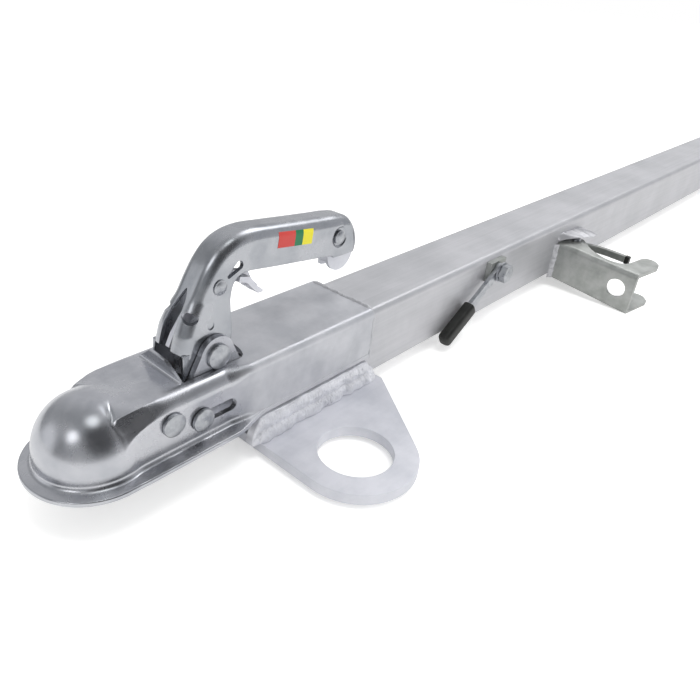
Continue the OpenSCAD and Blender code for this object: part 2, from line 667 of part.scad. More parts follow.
module end_rivet() {
    color("#c5c8cc") {
        bar_y(end_rivet_x, end_rivet_z, 3, -handle_half + 0.6, handle_half - 0.6);
        for (s = [-1, 1]) translate([end_rivet_x, s * (handle_half - 0.9), end_rivet_z])
            rotate([-90 * s, 0, 0]) rotate_extrude($fn = 48) {
                square([4.2, 1.2]);
                intersection() {
                    translate([0, 2.2 - 9]) circle(9, $fn = 64);
                    translate([0, 1]) square([4.2, 2]);
                }
            }
    }
}
module handle_label() {
    tilt = -6.6;
    thick = 0.3;
    color("#b8352f") across(-handle_half - thick / 2, thick)
        translate([111.5, 75.4]) rotate(tilt) square([label_l, label_h]);
}
module trigger_pin() {
    color("#c5c8cc") {
        bar_y(trigger_x, trigger_z, trigger_pin_d / 2, -handle_half - 0.1, handle_half + 0.1);
        for (s = [-1, 1]) translate([trigger_x, s * handle_half, trigger_z])
            rotate([-90 * s, 0, 0]) rotate_extrude($fn = 40) {
                square([4.2, 0.8]);
                intersection() {
                    translate([0, 1.8 - 8]) circle(8, $fn = 64);
                    translate([0, 0.6]) square([4.2, 2]);
                }
            }
    }
}
module trigger_spring() {
    wire = 1;
    color("#6f7378") translate([trigger_x, 1.9, trigger_z]) rotate([-90, 0, 0])
        coil(trigger_pin_d / 2 + wire / 2 + 0.5, wire, 3, 4.8, 1.5);
}
module trigger_drawing() {
    translate([trigger_x, trigger_z]) circle(5.2, $fn = 48);
    outline([[trigger_x - 4, trigger_z - 3.6], [trigger_x + 3.6, trigger_z + 3.8], [88, 69.2], [98.5, 66.4],
        [101.6, 60], [106, 55.6], [105.8, 53.4], [102, 53.2], [93.5, 61], [84, 63.2],
        [trigger_x + 3, trigger_z - 5]]);
    outline([[trigger_x - 5, trigger_z + 0.6], [trigger_x + 2, trigger_z - 5.2], [52.6, 40.6], [50, 36],
        [46.2, 37.6], [49.4, 44]]);
}
module trigger() {
    blade = 1.5;
    color("#b9bcc0") difference() {
        union() {
            across(-0.2, 2 * blade) trigger_drawing();
            across(0, 13.4) outline([[89, 66.6], [96.4, 64.6], [100, 59], [105.6, 54.6], [105.5, 53.2],
                [102.2, 53.3], [97.6, 57.8], [94, 61.8], [88.4, 63.6]]);
        }
        bar_y(trigger_x, trigger_z, trigger_pin_d / 2 + run, -tube_w, tube_w);
    }
}

// Angle section of the clamp bracket, one bend, drawn in x and z with the corner at the origin
module angle_section(web, flange, r) {
    difference() {
        union() {
            translate([0, -web]) square([clamp_sheet, web - r]);
            translate([r, -clamp_sheet]) square([flange - r, clamp_sheet]);
            intersection() {
                translate([r, -r]) circle(r, $fn = 40);
                translate([0, -r]) square(r);
            }
        }
        translate([r, -r]) circle(r - clamp_sheet, $fn = 32);
    }
}
module flange_plan() {
    difference() {
        union() {
            translate([clamp_x - 1, lobe_y + 7]) square([clamp_depth + 1, -tube_half - lobe_y - 7]);
            translate([clamp_x - 1, lobe_y + 1.5]) square([clamp_depth - 8, 8]);
            translate([flange_rear - 8.5, lobe_y + 8.5]) circle(8.5, $fn = 48);
        }
        translate([leg_x, leg_y]) circle(leg_r, $fn = 96);
        translate([leg_x, leg_y - leg_r]) square([60, 2 * leg_r]);
        translate([flange_rear, -tube_half - 10]) rotate(45) square([6, 14], center = true);
    }
}
module clamp_bracket() {
    half_web = clamp_h / 2 + 1;
    length = -tube_half - lobe_y;
    color("#aab0ac") difference() {
        intersection() {
            union() {
                translate([clamp_x, -tube_half, clamp_top]) rotate([90, 0, 0]) linear_extrude(length)
                    angle_section(half_web, clamp_depth, 4.6);
                translate([clamp_x, -tube_half, clamp_top - clamp_h]) rotate([clamp_slope, 0, 0])
                    mirror([0, 0, 1]) translate([0, 6, 0]) rotate([90, 0, 0]) linear_extrude(length + 12)
                    angle_section(half_web, clamp_depth, 4.6);
            }
            translate([0, 0, -80]) linear_extrude(120) flange_plan();
        }
        translate([clamp_x - 1, clamp_y - 19, clamp_mid]) rotate([0, 90, 0])
            cylinder(r = 21, h = clamp_depth + 6, $fn = 96);
        translate([clamp_x - 1, leg_y - 19.5, clamp_mid - 2]) rotate([0, 90, 0])
            cylinder(d = web_hole_d, h = clamp_sheet + 2, $fn = 64);
        translate([strap_pin_x, strap_pin_y, -80]) cylinder(d = strap_pin_d + 2 * seat, h = 120, $fn = 40);
    }
}
// The heavy bead on the bracket's root overhangs the flange and leaves the pin's head free
module bracket_weld() {
    leg = 3;
    lump = [[0, 0], [-1.8, 0], [-2.4, 3.2], [-9, 3.8], [-10.5, 6.2], [-7, 11], [-2.5, 14.2], [0, 15.5]];
    color("#a7a9ab") {
        translate([clamp_x - eps, -tube_half - eps, clamp_top - clamp_h]) linear_extrude(clamp_h - 2)
            outline([[0, 0], [-leg, 0], [0, -leg]]);
        translate([0, -tube_half - eps, clamp_top + eps])
            loft([for (s = [[3, 0.35, 0.5], [8, 0.8, 0.85], [14, 1, 1], [23, 1, 0.95], [31, 0.75, 0.8],
                [36.5, 0.25, 0.5]]) [for (p = lump) [clamp_x + s[0], p[0] * s[1], p[1] * s[2]]]]);
    }
}
module strap_pin() {
    low = clamp_top - clamp_h - 3.5;
    color("#c5c8cc") translate([strap_pin_x, strap_pin_y, low])
        cylinder(d = strap_pin_d, h = clamp_top - low + 1.2, $fn = 40);
    color("#c5c8cc") translate([strap_pin_x, strap_pin_y, clamp_top + eps])
        cylinder(d1 = strap_pin_d + 3, d2 = strap_pin_d + 1, h = 2, $fn = 40);
}
// Plan of the strap: an eye on the pin, a crank round the flange's edge and a shallow bow
module strap_plan() {
    back = flange_rear + apart + 0.4;
    bow = [[back + 1.6, strap_pin_y - 9.5], [back + 3.2, strap_pin_y - 18], [back + 3, strap_pin_y - 28],
        [back + 1.5, strap_pin_y - 38], [back - 0.2, strap_pin_y - 48]];
    translate([strap_pin_x, strap_pin_y]) circle(5.2, $fn = 48);
    outline(concat([[strap_pin_x, strap_pin_y - 5.1]], [[back, strap_pin_y - 8.5]], [for (p = bow) p],
        [for (i = [4:-1:0]) bow[i] + [strap_t, 0]], [[strap_pin_x + 1, strap_pin_y + 5]]));
}
module clamp_strap() {
    color("#aab0ac") translate([0, 0, strap_low]) difference() {
        linear_extrude(strap_h) strap_plan();
        translate([strap_pin_x, strap_pin_y, -1]) cylinder(d = strap_pin_d + 2 * run, h = strap_h + 2, $fn = 40);
        translate([0, strap_pin_y - 60, -1]) cube([600, 16 + seat, strap_h + 2]);
    }
}
module strap_tip() {
    color("#2a2a29") translate([0, 0, strap_low - 0.5]) difference() {
        intersection() {
            linear_extrude(strap_h + 0.8) strap_plan();
            translate([0, strap_pin_y - 60, -1]) cube([600, 16, strap_h + 3]);
        }
    }
}

// Places a drawing of the lever, laid along its own x from the bolt, on the tube's side
module lever_place() { translate([lever_x, 0, lever_z]) rotate([0, -180 + -lever_angle, 0]) children(); }
module lever_pad() {
    color("#b4b8bd") difference() {
        across(-tube_half - pad_t / 2, pad_t - 2 * eps) translate([lever_x - 10, lever_z - 8]) square([22, 16]);
        bar_y(lever_x, lever_z, bolt_d / 2 + seat, -tube_w, 0);
    }
}
module side_lever() {
    color("#c5c8cc") difference() {
        union() {
            bar_y(lever_x, lever_z, arm_w / 2 + 1.5, arm_y - arm_t, arm_y);
            lever_place() translate([0, arm_y - arm_t, -arm_w / 2]) cube([lever_l - 3, arm_t, arm_w - 2]);
        }
        bar_y(lever_x, lever_z, bolt_d / 2 + run, -tube_w, 0);
    }
}
module lever_grip() {
    y_mid = arm_y - arm_t / 2;
    color("#1c1d1c") difference() {
        lever_place() translate([lever_l - grip_l, y_mid, -1]) rotate([0, 90, 0])
            translate([0, 0, 0]) rotate_extrude($fn = 48) outline(concat([[0, 0], [grip_d / 2 - 1, 0]],
            arc_points([grip_d / 2 - 1, 1], 1, -90, 0, 4), arc_points([grip_d / 2 - 2, grip_l - 2], 2, 0, 90, 5),
            [[0, grip_l]]));
        lever_place() translate([0, arm_y - arm_t - seat, -arm_w / 2 - seat])
            cube([lever_l - 3 + seat, arm_t + 2 * seat, arm_w - 2 + 2 * seat]);
    }
}
module lever_bolt() {
    head_y = arm_y - arm_t - apart - 1.6;
    color("#c5c8cc") {
        bar_y(lever_x, lever_z, bolt_d / 2, head_y - eps, -tube_half + tube_wall + 7);
        across(head_y - 2.6, 5.2) translate([lever_x, lever_z]) circle(r = bolt_d * 0.94, $fn = 6);
    }
}
module lever_washer() {
    y = arm_y - arm_t - apart;
    color("#b4b8bd") difference() {
        bar_y(lever_x, lever_z, bolt_d, y - 1.6, y);
        bar_y(lever_x, lever_z, bolt_d / 2 + seat, -tube_w, 0);
    }
}
module lever_nut() {
    color("#b4b8bd") difference() {
        across(-tube_half + tube_wall + 3.2, 6.4) translate([lever_x, lever_z])
            circle(r = bolt_d * 0.9, $fn = 6);
        bar_y(lever_x, lever_z, bolt_d / 2 + seat, -tube_w, tube_w);
    }
}

drawbar_tube();
coupling_housing();
sleeve_weld();
eye_plate();
eye_plate_weld();
handle_bracket();
jaw_pin();
handle_pin();
lock_spring();
clamp_bracket();
bracket_weld();
strap_pin();
lever_pad();
lever_bolt();
lever_washer();
lever_nut();
coupling_handle();
handle_end_plate();
end_rivet();
handle_label();
trigger_pin();
trigger_spring();
trigger();
locking_jaw();
lock_slide();
slide_pin();
clamp_strap();
strap_tip();
side_lever();
lever_grip();
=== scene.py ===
# Trailer drawbar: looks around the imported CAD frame. Metres; origin at the ball centre, +X rearward, +Z up.
import json
import bmesh
import bpy
import numpy as np
from mathutils import Matrix, Vector


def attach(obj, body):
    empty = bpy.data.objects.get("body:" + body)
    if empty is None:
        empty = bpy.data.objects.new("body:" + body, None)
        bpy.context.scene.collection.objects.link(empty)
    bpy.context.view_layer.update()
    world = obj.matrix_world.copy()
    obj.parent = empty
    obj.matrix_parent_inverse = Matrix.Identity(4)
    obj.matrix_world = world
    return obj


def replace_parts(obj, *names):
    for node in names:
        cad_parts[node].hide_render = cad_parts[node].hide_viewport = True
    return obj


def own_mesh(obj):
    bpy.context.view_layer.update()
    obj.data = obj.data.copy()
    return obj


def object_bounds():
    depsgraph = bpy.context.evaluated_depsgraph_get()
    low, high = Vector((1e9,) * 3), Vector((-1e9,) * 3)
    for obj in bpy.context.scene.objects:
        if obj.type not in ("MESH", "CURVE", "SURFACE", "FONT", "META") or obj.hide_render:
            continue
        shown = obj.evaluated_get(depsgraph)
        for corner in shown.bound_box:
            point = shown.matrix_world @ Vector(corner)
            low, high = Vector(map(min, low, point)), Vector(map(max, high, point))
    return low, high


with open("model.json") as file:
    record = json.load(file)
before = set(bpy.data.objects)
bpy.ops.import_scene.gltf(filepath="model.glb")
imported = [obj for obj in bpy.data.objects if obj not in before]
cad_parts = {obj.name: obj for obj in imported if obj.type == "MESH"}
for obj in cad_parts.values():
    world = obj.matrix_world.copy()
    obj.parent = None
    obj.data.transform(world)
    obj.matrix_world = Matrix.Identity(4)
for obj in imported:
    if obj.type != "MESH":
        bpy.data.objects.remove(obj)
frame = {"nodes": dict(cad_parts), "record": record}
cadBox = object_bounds()
mm = 0.001


# ---- Camera and studio ----

view = {
    "place": (-0.121458, -0.244766, 0.213390),
    "right": (0.6941, -0.7168, 0.0669),
    "up": (0.3193, 0.3898, 0.8638),
    "lens": 34.14,
    "shift": (0.0628, -0.0135),
}
studio = {
    "floorColour": "#F6F6F5", "floorGlow": 0.42, "floorHalf": 6.0, "floorGap": 0.0005, "aim": (0.3, 0.0, 0.0),
    "keySize": 0.8, "keyPower": 12.0, "keyFrom": (0.05, -0.55, 2.1),
    "fillSize": 2.4, "fillPower": 13.0, "fillFrom": (0.9, -2.0, 1.2),
    "rimSize": 1.8, "rimPower": 7.0, "rimFrom": (0.9, 1.7, 1.5),
    "worldLevel": 0.70, "mirroredFloor": 0.42,
    # what polished metal sees of the room: even grey, darker towards the near wall, bright ceiling panels;
    # each patch is a direction, its inner and outer angle in degrees and its colour
    "room": (0.40, 0.41, 0.42, 1),
    "patches": [
        ((0.65, 0.55, 0.50), 26, 60, (0.70, 0.705, 0.715, 1)),
        ((0.78, -0.58, 0.30), 14, 40, (0.62, 0.63, 0.65, 1)),
        ((-0.05, -0.76, 0.62), 20, 42, (0.045, 0.046, 0.050, 1)),
        ((-0.96, 0.20, 0.26), 8, 22, (0.22, 0.225, 0.235, 1)),
        ((-0.80, 0.56, 0.20), 10, 28, (0.95, 0.96, 0.97, 1)),
        ((0.64, 0.04, 0.76), 6, 17, (4.0, 4.0, 4.0, 1)),
        ((0.01, -0.22, 0.97), 4, 15, (1.9, 1.95, 1.92, 1)),
        ((-0.70, -0.17, 0.70), 3, 14, (2.6, 2.6, 2.6, 1)),
    ],
}


def linear(hexText):  # sRGB hex text to a linear colour with alpha
    channels = np.array([int(hexText[i:i + 2], 16) / 255 for i in (1, 3, 5)])
    low = channels / 12.92
    high = ((channels + 0.055) / 1.055) ** 2.4
    return (*np.where(channels <= 0.04045, low, high).tolist(), 1.0)


def addNode(tree, kind, settings=None, links=None):  # one node, its settings, then its links
    node = tree.nodes.new("ShaderNode" + kind)
    for key, value in (settings or {}).items():
        if key == "stops":
            ramp = node.color_ramp
            while len(ramp.elements) < len(value):
                ramp.elements.new(0.5)
            for element, (place, colour) in zip(ramp.elements, value):
                element.position, element.color = place, colour
        elif hasattr(node, str(key)):
            setattr(node, key, value)
        else:
            node.inputs[key].default_value = value
    for key, source in (links or {}).items():
        tree.links.new(source, node.inputs[key])
    return node


def emptyMaterial(name):
    material = bpy.data.materials.new(name)
    material.use_nodes = True
    material.node_tree.nodes.clear()
    return material


def addObject(name, data):  # an object that carries the data, linked to the scene
    thing = bpy.data.objects.new(name, data)
    bpy.context.scene.collection.objects.link(thing)
    return thing


def makeCamera():
    right, up = Vector(view["right"]).normalized(), Vector(view["up"])
    back = right.cross(up).normalized()
    up = back.cross(right)
    data = bpy.data.cameras.new("photoCamera")
    data.sensor_width, data.lens = 36.0, view["lens"]
    data.shift_x, data.shift_y = view["shift"]
    data.clip_start = 0.01
    camera = addObject("photoCamera", data)
    camera.matrix_world = Matrix.Translation(view["place"]) @ Matrix((right, up, back)).transposed().to_4x4()
    bpy.context.scene.camera = camera


def areaLamp(name, size, power, place):  # a round lamp aimed at the drawbar, which polished metal doesn't mirror
    data = bpy.data.lights.new(name, "AREA")
    data.shape, data.size, data.energy = "DISK", size, power
    lamp = addObject(name, data)
    lamp.location = place
    lamp.visible_glossy = False
    lamp.rotation_euler = (Vector(studio["aim"]) - Vector(place)).to_track_quat("-Z", "Y").to_euler()


def makeStudio():
    low, half = cadBox[0].z - studio["floorGap"], studio["floorHalf"]
    floorMesh = bpy.data.meshes.new("floor")
    floorMesh.from_pydata([(-half, -half, low), (half, -half, low), (half, half, low), (-half, half, low)], [],
                          [(0, 1, 2, 3)])
    floor = addObject("floor", floorMesh)
    paper = emptyMaterial("pale studio paper")
    tree = paper.node_tree
    path = addNode(tree, "LightPath")
    lit = addNode(tree, "BsdfDiffuse", {"Color": linear(studio["floorColour"])})
    glow = addNode(tree, "Emission", {"Color": (1, 1, 1, 1), "Strength": studio["floorGlow"]})
    shade = addNode(tree, "AddShader", links={0: lit.outputs[0], 1: glow.outputs[0]})
    part = addNode(tree, "Math", {"operation": "MULTIPLY", 1: studio["mirroredFloor"]},
                   {0: path.outputs["Is Glossy Ray"]})
    seen = addNode(tree, "Math", {"operation": "MAXIMUM"}, {0: path.outputs["Is Camera Ray"], 1: part.outputs[0]})
    mixed = addNode(tree, "MixShader", links={0: seen.outputs[0], 1: lit.outputs[0], 2: shade.outputs[0]})
    addNode(tree, "OutputMaterial", links={"Surface": mixed.outputs[0]})
    floorMesh.materials.append(paper)

    world = bpy.data.worlds.new("studio")
    world.use_nodes = True
    bpy.context.scene.world = world
    tree = world.node_tree
    tree.nodes.clear()
    path = addNode(tree, "LightPath")
    seen = addNode(tree, "Math", {"operation": "MAXIMUM"}, {0: path.outputs["Is Camera Ray"],
                                                            1: path.outputs["Is Transmission Ray"]})
    direction = addNode(tree, "TexCoord")
    colour = addNode(tree, "RGB")
    colour.outputs[0].default_value = studio["room"]
    for centre, inner, outer, shade in studio["patches"]:
        aim = tuple(Vector(centre).normalized())
        cosine = addNode(tree, "VectorMath", {"operation": "DOT_PRODUCT", 1: aim},
                         {0: direction.outputs["Generated"]})
        share = addNode(tree, "MapRange", {"interpolation_type": "SMOOTHSTEP", 1: float(np.cos(np.radians(outer))),
                                           2: float(np.cos(np.radians(inner)))}, {0: cosine.outputs["Value"]})
        colour = addNode(tree, "MixRGB", {2: shade}, {0: share.outputs[0], 1: colour.outputs[0]})
    glossy = addNode(tree, "Background", {"Strength": 1.0}, {0: colour.outputs[0]})
    soft = addNode(tree, "Background", {"Color": (1, 1, 1, 1), "Strength": studio["worldLevel"]})
    white = addNode(tree, "Background", {"Color": (1, 1, 1, 1), "Strength": 1.0})
    inner = addNode(tree, "MixShader", links={0: path.outputs["Is Glossy Ray"], 1: soft.outputs[0],
                                              2: glossy.outputs[0]})
    outer = addNode(tree, "MixShader", links={0: seen.outputs[0], 1: inner.outputs[0], 2: white.outputs[0]})
    addNode(tree, "OutputWorld", links={"Surface": outer.outputs[0]})
    for name in ("key", "fill", "rim"):
        areaLamp(name + "Lamp", studio[name + "Size"], studio[name + "Power"], studio[name + "From"])
    bpy.context.scene.view_settings.view_transform = "Standard"


makeCamera()
makeStudio()
print("stage: camera and studio")


# ---- Materials ----
# Sizes of the patterns are real sizes in millimetres; a noise scale is 1000 over that size.

finishes = {
    # hot-dip galvanised tube: dull grey zinc with soft clouds and faint draw lines along the tube
    "galvanised tube, hot dipped": {"light": "#CBCBCF", "dark": "#B7B8BC", "cloud": 38, "grain": 1.6,
                                    "streak": 0.5, "rough": (0.38, 0.52), "metal": 0.6, "bump": 0.04},
    # bright zinc plating over pressed steel, soft sheen; duller and paler on the socket behind the flare
    "zinc plated pressing": {"light": "#C9CACF", "dark": "#B2B4BA", "cloud": 22, "grain": 0.9, "streak": 0.15,
                             "rough": (0.20, 0.32), "metal": 0.95, "bump": 0.008, "dull": (66, 84, 0.48, 1.5)},
    # the handle has the same plating over smoother sheet, so its reflections are crisper; its light and dark colours
    # are painted darker than the pressing's, a painted shade that stands for the darker reflections the handle shows
    "zinc plated handle, painted darker": {"light": "#B3B5BA", "dark": "#9DA0A6", "cloud": 16, "grain": 0.8, "streak": 0.1,
                           "rough": (0.18, 0.30), "metal": 0.95, "bump": 0.01},
    # flat zinc plated plate
    "zinc plated plate": {"light": "#DEDFE6", "dark": "#CACCD4", "cloud": 30, "grain": 1.2, "streak": 0.2,
                          "rough": (0.36, 0.50), "metal": 0.3, "bump": 0.03},
    # dipped bracket: greenish grey zinc skin
    "galvanised bracket, hot dipped": {"light": "#B4B6B4", "dark": "#9A9D9A", "cloud": 12, "grain": 1.0,
                                       "streak": 0.1, "rough": (0.34, 0.48), "metal": 0.7, "bump": 0.05},
    # weld bead under the zinc: pale, half dull, its grain finer than its ripples
    "galvanised weld bead": {"light": "#E6E7ED", "dark": "#CACBD1", "cloud": 9, "grain": 0.7, "streak": 0.0,
                             "rough": (0.26, 0.40), "metal": 0.4, "bump": 0.05},
    # turned and peened pins: small clouds, a fine grain and bright edges
    "zinc plated pin": {"light": "#BBBDC1", "dark": "#989BA1", "cloud": 5, "grain": 0.5, "streak": 0.0,
                        "rough": (0.24, 0.38), "metal": 0.97, "bump": 0.02},
    # cast lock parts, darker and oily
    "phosphated lock steel": {"light": "#77797C", "dark": "#505255", "cloud": 6, "grain": 0.6, "streak": 0.0,
                              "rough": (0.38, 0.55), "metal": 0.85, "bump": 0.05},
    # drawn spring wire
    "oiled spring wire": {"light": "#6A6C70", "dark": "#45474B", "cloud": 4, "grain": 0.4, "streak": 0.0,
                          "rough": (0.28, 0.40), "metal": 0.95, "bump": 0.02},
}
plastics = {
    # soft PVC dip on the lever
    "dipped PVC grip": {"light": "#262725", "dark": "#141513", "cloud": 6, "rough": (0.42, 0.56), "bump": 0.06},
    # printed film, three plain bands across its length
    "printed label film": {"cloud": 8, "rough": (0.35, 0.42), "bump": 0.0, "lean": -7.6, "start": 100.4,
                           "length": 26.8, "bands": [(0.0, "#C8403A"), (0.47, "#14734A"), (0.70, "#E6DB2E")]},
}
# shared by the finishes: spacing of the draw lines (mm) and their stretch along x, where the clouds turn from dark
# to light, the noise values between which roughness runs, and the depth of the grain and the cloud relief (mm)
patterns = {"line": 2.5, "stretch": 0.02, "lineShare": 0.6, "metalStops": (0.34, 0.62), "plasticStops": (0.35, 0.65),
            "from": 0.3, "to": 0.7, "grainDepth": 0.4, "cloudDepth": 0.3}


def roughness(tree, clouds, limits):  # roughness that follows the clouds between two limits
    return addNode(tree, "MapRange", {1: patterns["from"], 2: patterns["to"], 3: limits[0], 4: limits[1]},
                   {0: clouds.outputs["Fac"]})


def ramp(tree, look, stops, source):  # from the dark to the light colour between two noise values
    colours = [linear(look["dark"]), linear(look["light"])]
    return addNode(tree, "ValToRGB", {"stops": list(zip(stops, colours))}, {0: source})


def surfaceNode(tree, look, colour, rough, depth, height):  # the shader with its relief, joined to the output
    relief = addNode(tree, "Bump", {"Strength": look["bump"], "Distance": patterns[depth] * mm},
                     {"Height": height.outputs["Fac"]})
    surface = addNode(tree, "BsdfPrincipled", {"Metallic": look.get("metal", 0.0)},
                      {"Base Color": colour.outputs[0], "Roughness": rough.outputs[0], "Normal": relief.outputs[0]})
    addNode(tree, "OutputMaterial", links={"Surface": surface.outputs[0]})
    return surface


def metalFinish(name, look):
    material = emptyMaterial(name)
    tree = material.node_tree
    place = addNode(tree, "TexCoord")
    clouds = addNode(tree, "TexNoise", {"Scale": 1000 / look["cloud"], "Detail": 5.0, "Roughness": 0.6},
                     {"Vector": place.outputs["Object"]})
    lengthwise = addNode(tree, "Mapping", {"Scale": (patterns["stretch"], 1.0, 1.0)},
                         {"Vector": place.outputs["Object"]})
    lines = addNode(tree, "TexNoise", {"Scale": 1000 / patterns["line"], "Detail": 3.0},
                    {"Vector": lengthwise.outputs[0]})
    grain = addNode(tree, "TexNoise", {"Scale": 1000 / look["grain"], "Detail": 3.0},
                    {"Vector": place.outputs["Object"]})
    shade = addNode(tree, "Mix", {"data_type": "FLOAT", 0: look["streak"] * patterns["lineShare"]},
                    {2: clouds.outputs["Fac"], 3: lines.outputs["Fac"]})
    colour = ramp(tree, look, patterns["metalStops"], shade.outputs[0])
    rough = roughness(tree, clouds, look["rough"])
    surface = surfaceNode(tree, look, colour, rough, "grainDepth", grain)
    if "dull" in look:
        front, rear, metal, growth = look["dull"]
        along = addNode(tree, "SeparateXYZ", links={0: place.outputs["Object"]})
        share = addNode(tree, "MapRange", {1: front * mm, 2: rear * mm}, {0: along.outputs[0]})
        metallic = addNode(tree, "Mix", {"data_type": "FLOAT", 2: look["metal"], 3: metal}, {0: share.outputs[0]})
        wider = addNode(tree, "Mix", {"data_type": "FLOAT", 2: 1.0, 3: growth}, {0: share.outputs[0]})
        duller = addNode(tree, "Math", {"operation": "MULTIPLY"}, {0: rough.outputs[0], 1: wider.outputs[0]})
        tree.links.new(metallic.outputs[0], surface.inputs["Metallic"])
        tree.links.new(duller.outputs[0], surface.inputs["Roughness"])
    return material


def plasticFinish(name, look):
    material = emptyMaterial(name)
    tree = material.node_tree
    place = addNode(tree, "TexCoord")
    clouds = addNode(tree, "TexNoise", {"Scale": 1000 / look["cloud"], "Detail": 4.0},
                     {"Vector": place.outputs["Object"]})
    if "bands" in look:
        lean = np.radians(look["lean"])
        way = (float(np.cos(lean)), 0.0, float(np.sin(lean)))
        along = addNode(tree, "VectorMath", {"operation": "DOT_PRODUCT", 1: way}, {0: place.outputs["Object"]})
        share = addNode(tree, "MapRange", {1: look["start"] * mm, 2: (look["start"] + look["length"]) * mm},
                        {0: along.outputs["Value"]})
        colour = addNode(tree, "ValToRGB", {"stops": [(spot, linear(tint)) for spot, tint in look["bands"]]},
                         {0: share.outputs[0]})
        colour.color_ramp.interpolation = "CONSTANT"
    else:
        colour = ramp(tree, look, patterns["plasticStops"], clouds.outputs["Fac"])
    surfaceNode(tree, look, colour, roughness(tree, clouds, look["rough"]), "cloudDepth", clouds)
    return material


made = {name: metalFinish(name, look) for name, look in finishes.items()}
made |= {name: plasticFinish(name, look) for name, look in plastics.items()}
print("stage: materials")


# ---- Solids with eased edges ----
# Each finish with its CAD nodes and the width of their eased edges in mm; a node with width 0 keeps its plain
# edges or is replaced by a surface further down

easedNodes = {
    "galvanised tube, hot dipped": {"drawbar_tube": 0.3},
    "zinc plated pressing": {"coupling_housing": 0.0, "handle_bracket": 0.4},
    "zinc plated handle, painted darker": {"coupling_handle": 0.0},
    "zinc plated plate": {"eye_plate": 0.5, "handle_end_plate": 0.0, "trigger": 0.3},
    "galvanised bracket, hot dipped": {"clamp_bracket": 0.0, "lever_pad": 0.5, "clamp_strap": 0.5},
    "galvanised weld bead": {"sleeve_weld": 0.0, "eye_plate_weld": 0.0, "bracket_weld": 0.0},
    "zinc plated pin": {"jaw_pin": 0.4, "handle_pin": 0.4, "slide_pin": 0.4, "strap_pin": 0.3, "lever_bolt": 0.3,
                        "lever_washer": 0.2, "lever_nut": 0.3, "end_rivet": 0.2, "trigger_pin": 0.2,
                        "side_lever": 0.3},
    "phosphated lock steel": {"locking_jaw": 0.4, "lock_slide": 0.4},
    "oiled spring wire": {"lock_spring": 0.0, "trigger_spring": 0.0},
    "dipped PVC grip": {"strap_tip": 0.3, "lever_grip": 0.0},
    "printed label film": {"handle_label": 0.0},
}


# mesh rules: angle from which an edge is sharp (radians), the same for rough welds and round pieces, distance at
# which points are joined (mm), angle up to which faces count as one, and the segments of an eased edge
meshRules = {"sharp": 0.6, "soft": 1.2, "join": 0.002, "gridJoin": 0.004, "flat": 0.012, "segments": 2}


def bodyOf(node):
    for body, members in frame["record"]["behaviour"]["bodies"].items():
        if node in members:
            return body


def standFor(piece, node):  # the piece takes the node's place and rides on its body
    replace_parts(piece, node)
    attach(piece, bodyOf(node))


def smoothFaces(mesh, sharp):
    mesh.polygons.foreach_set("use_smooth", np.ones(len(mesh.polygons), bool))
    mesh.set_sharp_from_angle(angle=sharp)


def easeEdges(piece, width):
    bevel = piece.modifiers.new("easedEdges", "BEVEL")
    bevel.width, bevel.segments, bevel.limit_method = width * mm, meshRules["segments"], "ANGLE"
    bevel.angle_limit, bevel.use_clamp_overlap = meshRules["sharp"], True
    return bevel


def easeSolid(node, finish, width):
    # a merged copy of the node's mesh, flat faces joined up, then its sharp edges eased by a bevel
    name = node + "_eased"
    mesh = frame["nodes"][node].data.copy()
    mesh.name = name
    work = bmesh.new()
    work.from_mesh(mesh)
    bmesh.ops.remove_doubles(work, verts=work.verts, dist=meshRules["join"] * mm)
    bmesh.ops.dissolve_limit(work, angle_limit=meshRules["flat"], verts=work.verts, edges=work.edges)
    work.to_mesh(mesh)
    work.free()
    mesh.materials.clear()
    mesh.materials.append(made[finish])
    smoothFaces(mesh, meshRules["sharp"])
    piece = addObject(name, mesh)
    easeEdges(piece, width).harden_normals = True
    standFor(piece, node)


def dressNodes():
    for finish, widths in easedNodes.items():
        for node, width in widths.items():
            frame["nodes"][node].data.materials.clear()
            frame["nodes"][node].data.materials.append(made[finish])
            if width:
                easeSolid(node, finish, width)


dressNodes()
print("stage: solids with eased edges")


# ---- Surfaces worked out on grids ----


def smoothStep(value, start, end):
    u = np.clip((value - start) / (end - start), 0, 1)
    return u * u * (3 - 2 * u)


def gridFaces(rows, columns, closed=False):  # quads between the points of a grid of rows by columns
    a, b = np.meshgrid(np.arange(rows - 1), np.arange(columns if closed else columns - 1), indexing="ij")
    d = (b + 1) % columns
    corners = [a * columns + b, (a + 1) * columns + b, (a + 1) * columns + d, a * columns + d]
    return np.stack(corners, -1).reshape(-1, 4)


def surfacePiece(name, points, finish, closed=False, sharp=meshRules["sharp"]):
    # a mesh from a grid of points in mm: doubles merged, open ends filled, faces turned outward
    rows, columns = points.shape[:2]
    mesh = bpy.data.meshes.new(name)
    mesh.from_pydata((points.reshape(-1, 3) * mm).tolist(), [], gridFaces(rows, columns, closed).tolist())
    work = bmesh.new()
    work.from_mesh(mesh)
    bmesh.ops.remove_doubles(work, verts=work.verts, dist=meshRules["gridJoin"] * mm)
    bmesh.ops.dissolve_degenerate(work, edges=work.edges, dist=meshRules["join"] * mm)
    bmesh.ops.holes_fill(work, edges=[edge for edge in work.edges if edge.is_boundary], sides=0)
    bmesh.ops.recalc_face_normals(work, faces=work.faces)
    work.to_mesh(mesh)
    work.free()
    mesh.materials.append(made[finish])
    smoothFaces(mesh, sharp)
    return addObject(name, mesh)


def prismGrid(outline, axis, low, high):
    # a closed prism: the outline's points (mm) in the plane square to axis x, y or z, from low to high
    flat = np.asarray(outline, float)
    places = {"x": (1, 2, 0), "y": (0, 2, 1), "z": (0, 1, 2)}[axis]
    points = np.zeros((2, len(flat), 3))
    points[:, :, places[0]], points[:, :, places[1]] = flat[:, 0], flat[:, 1]
    points[:, :, places[2]] = np.array([low, high])[:, None]
    return points


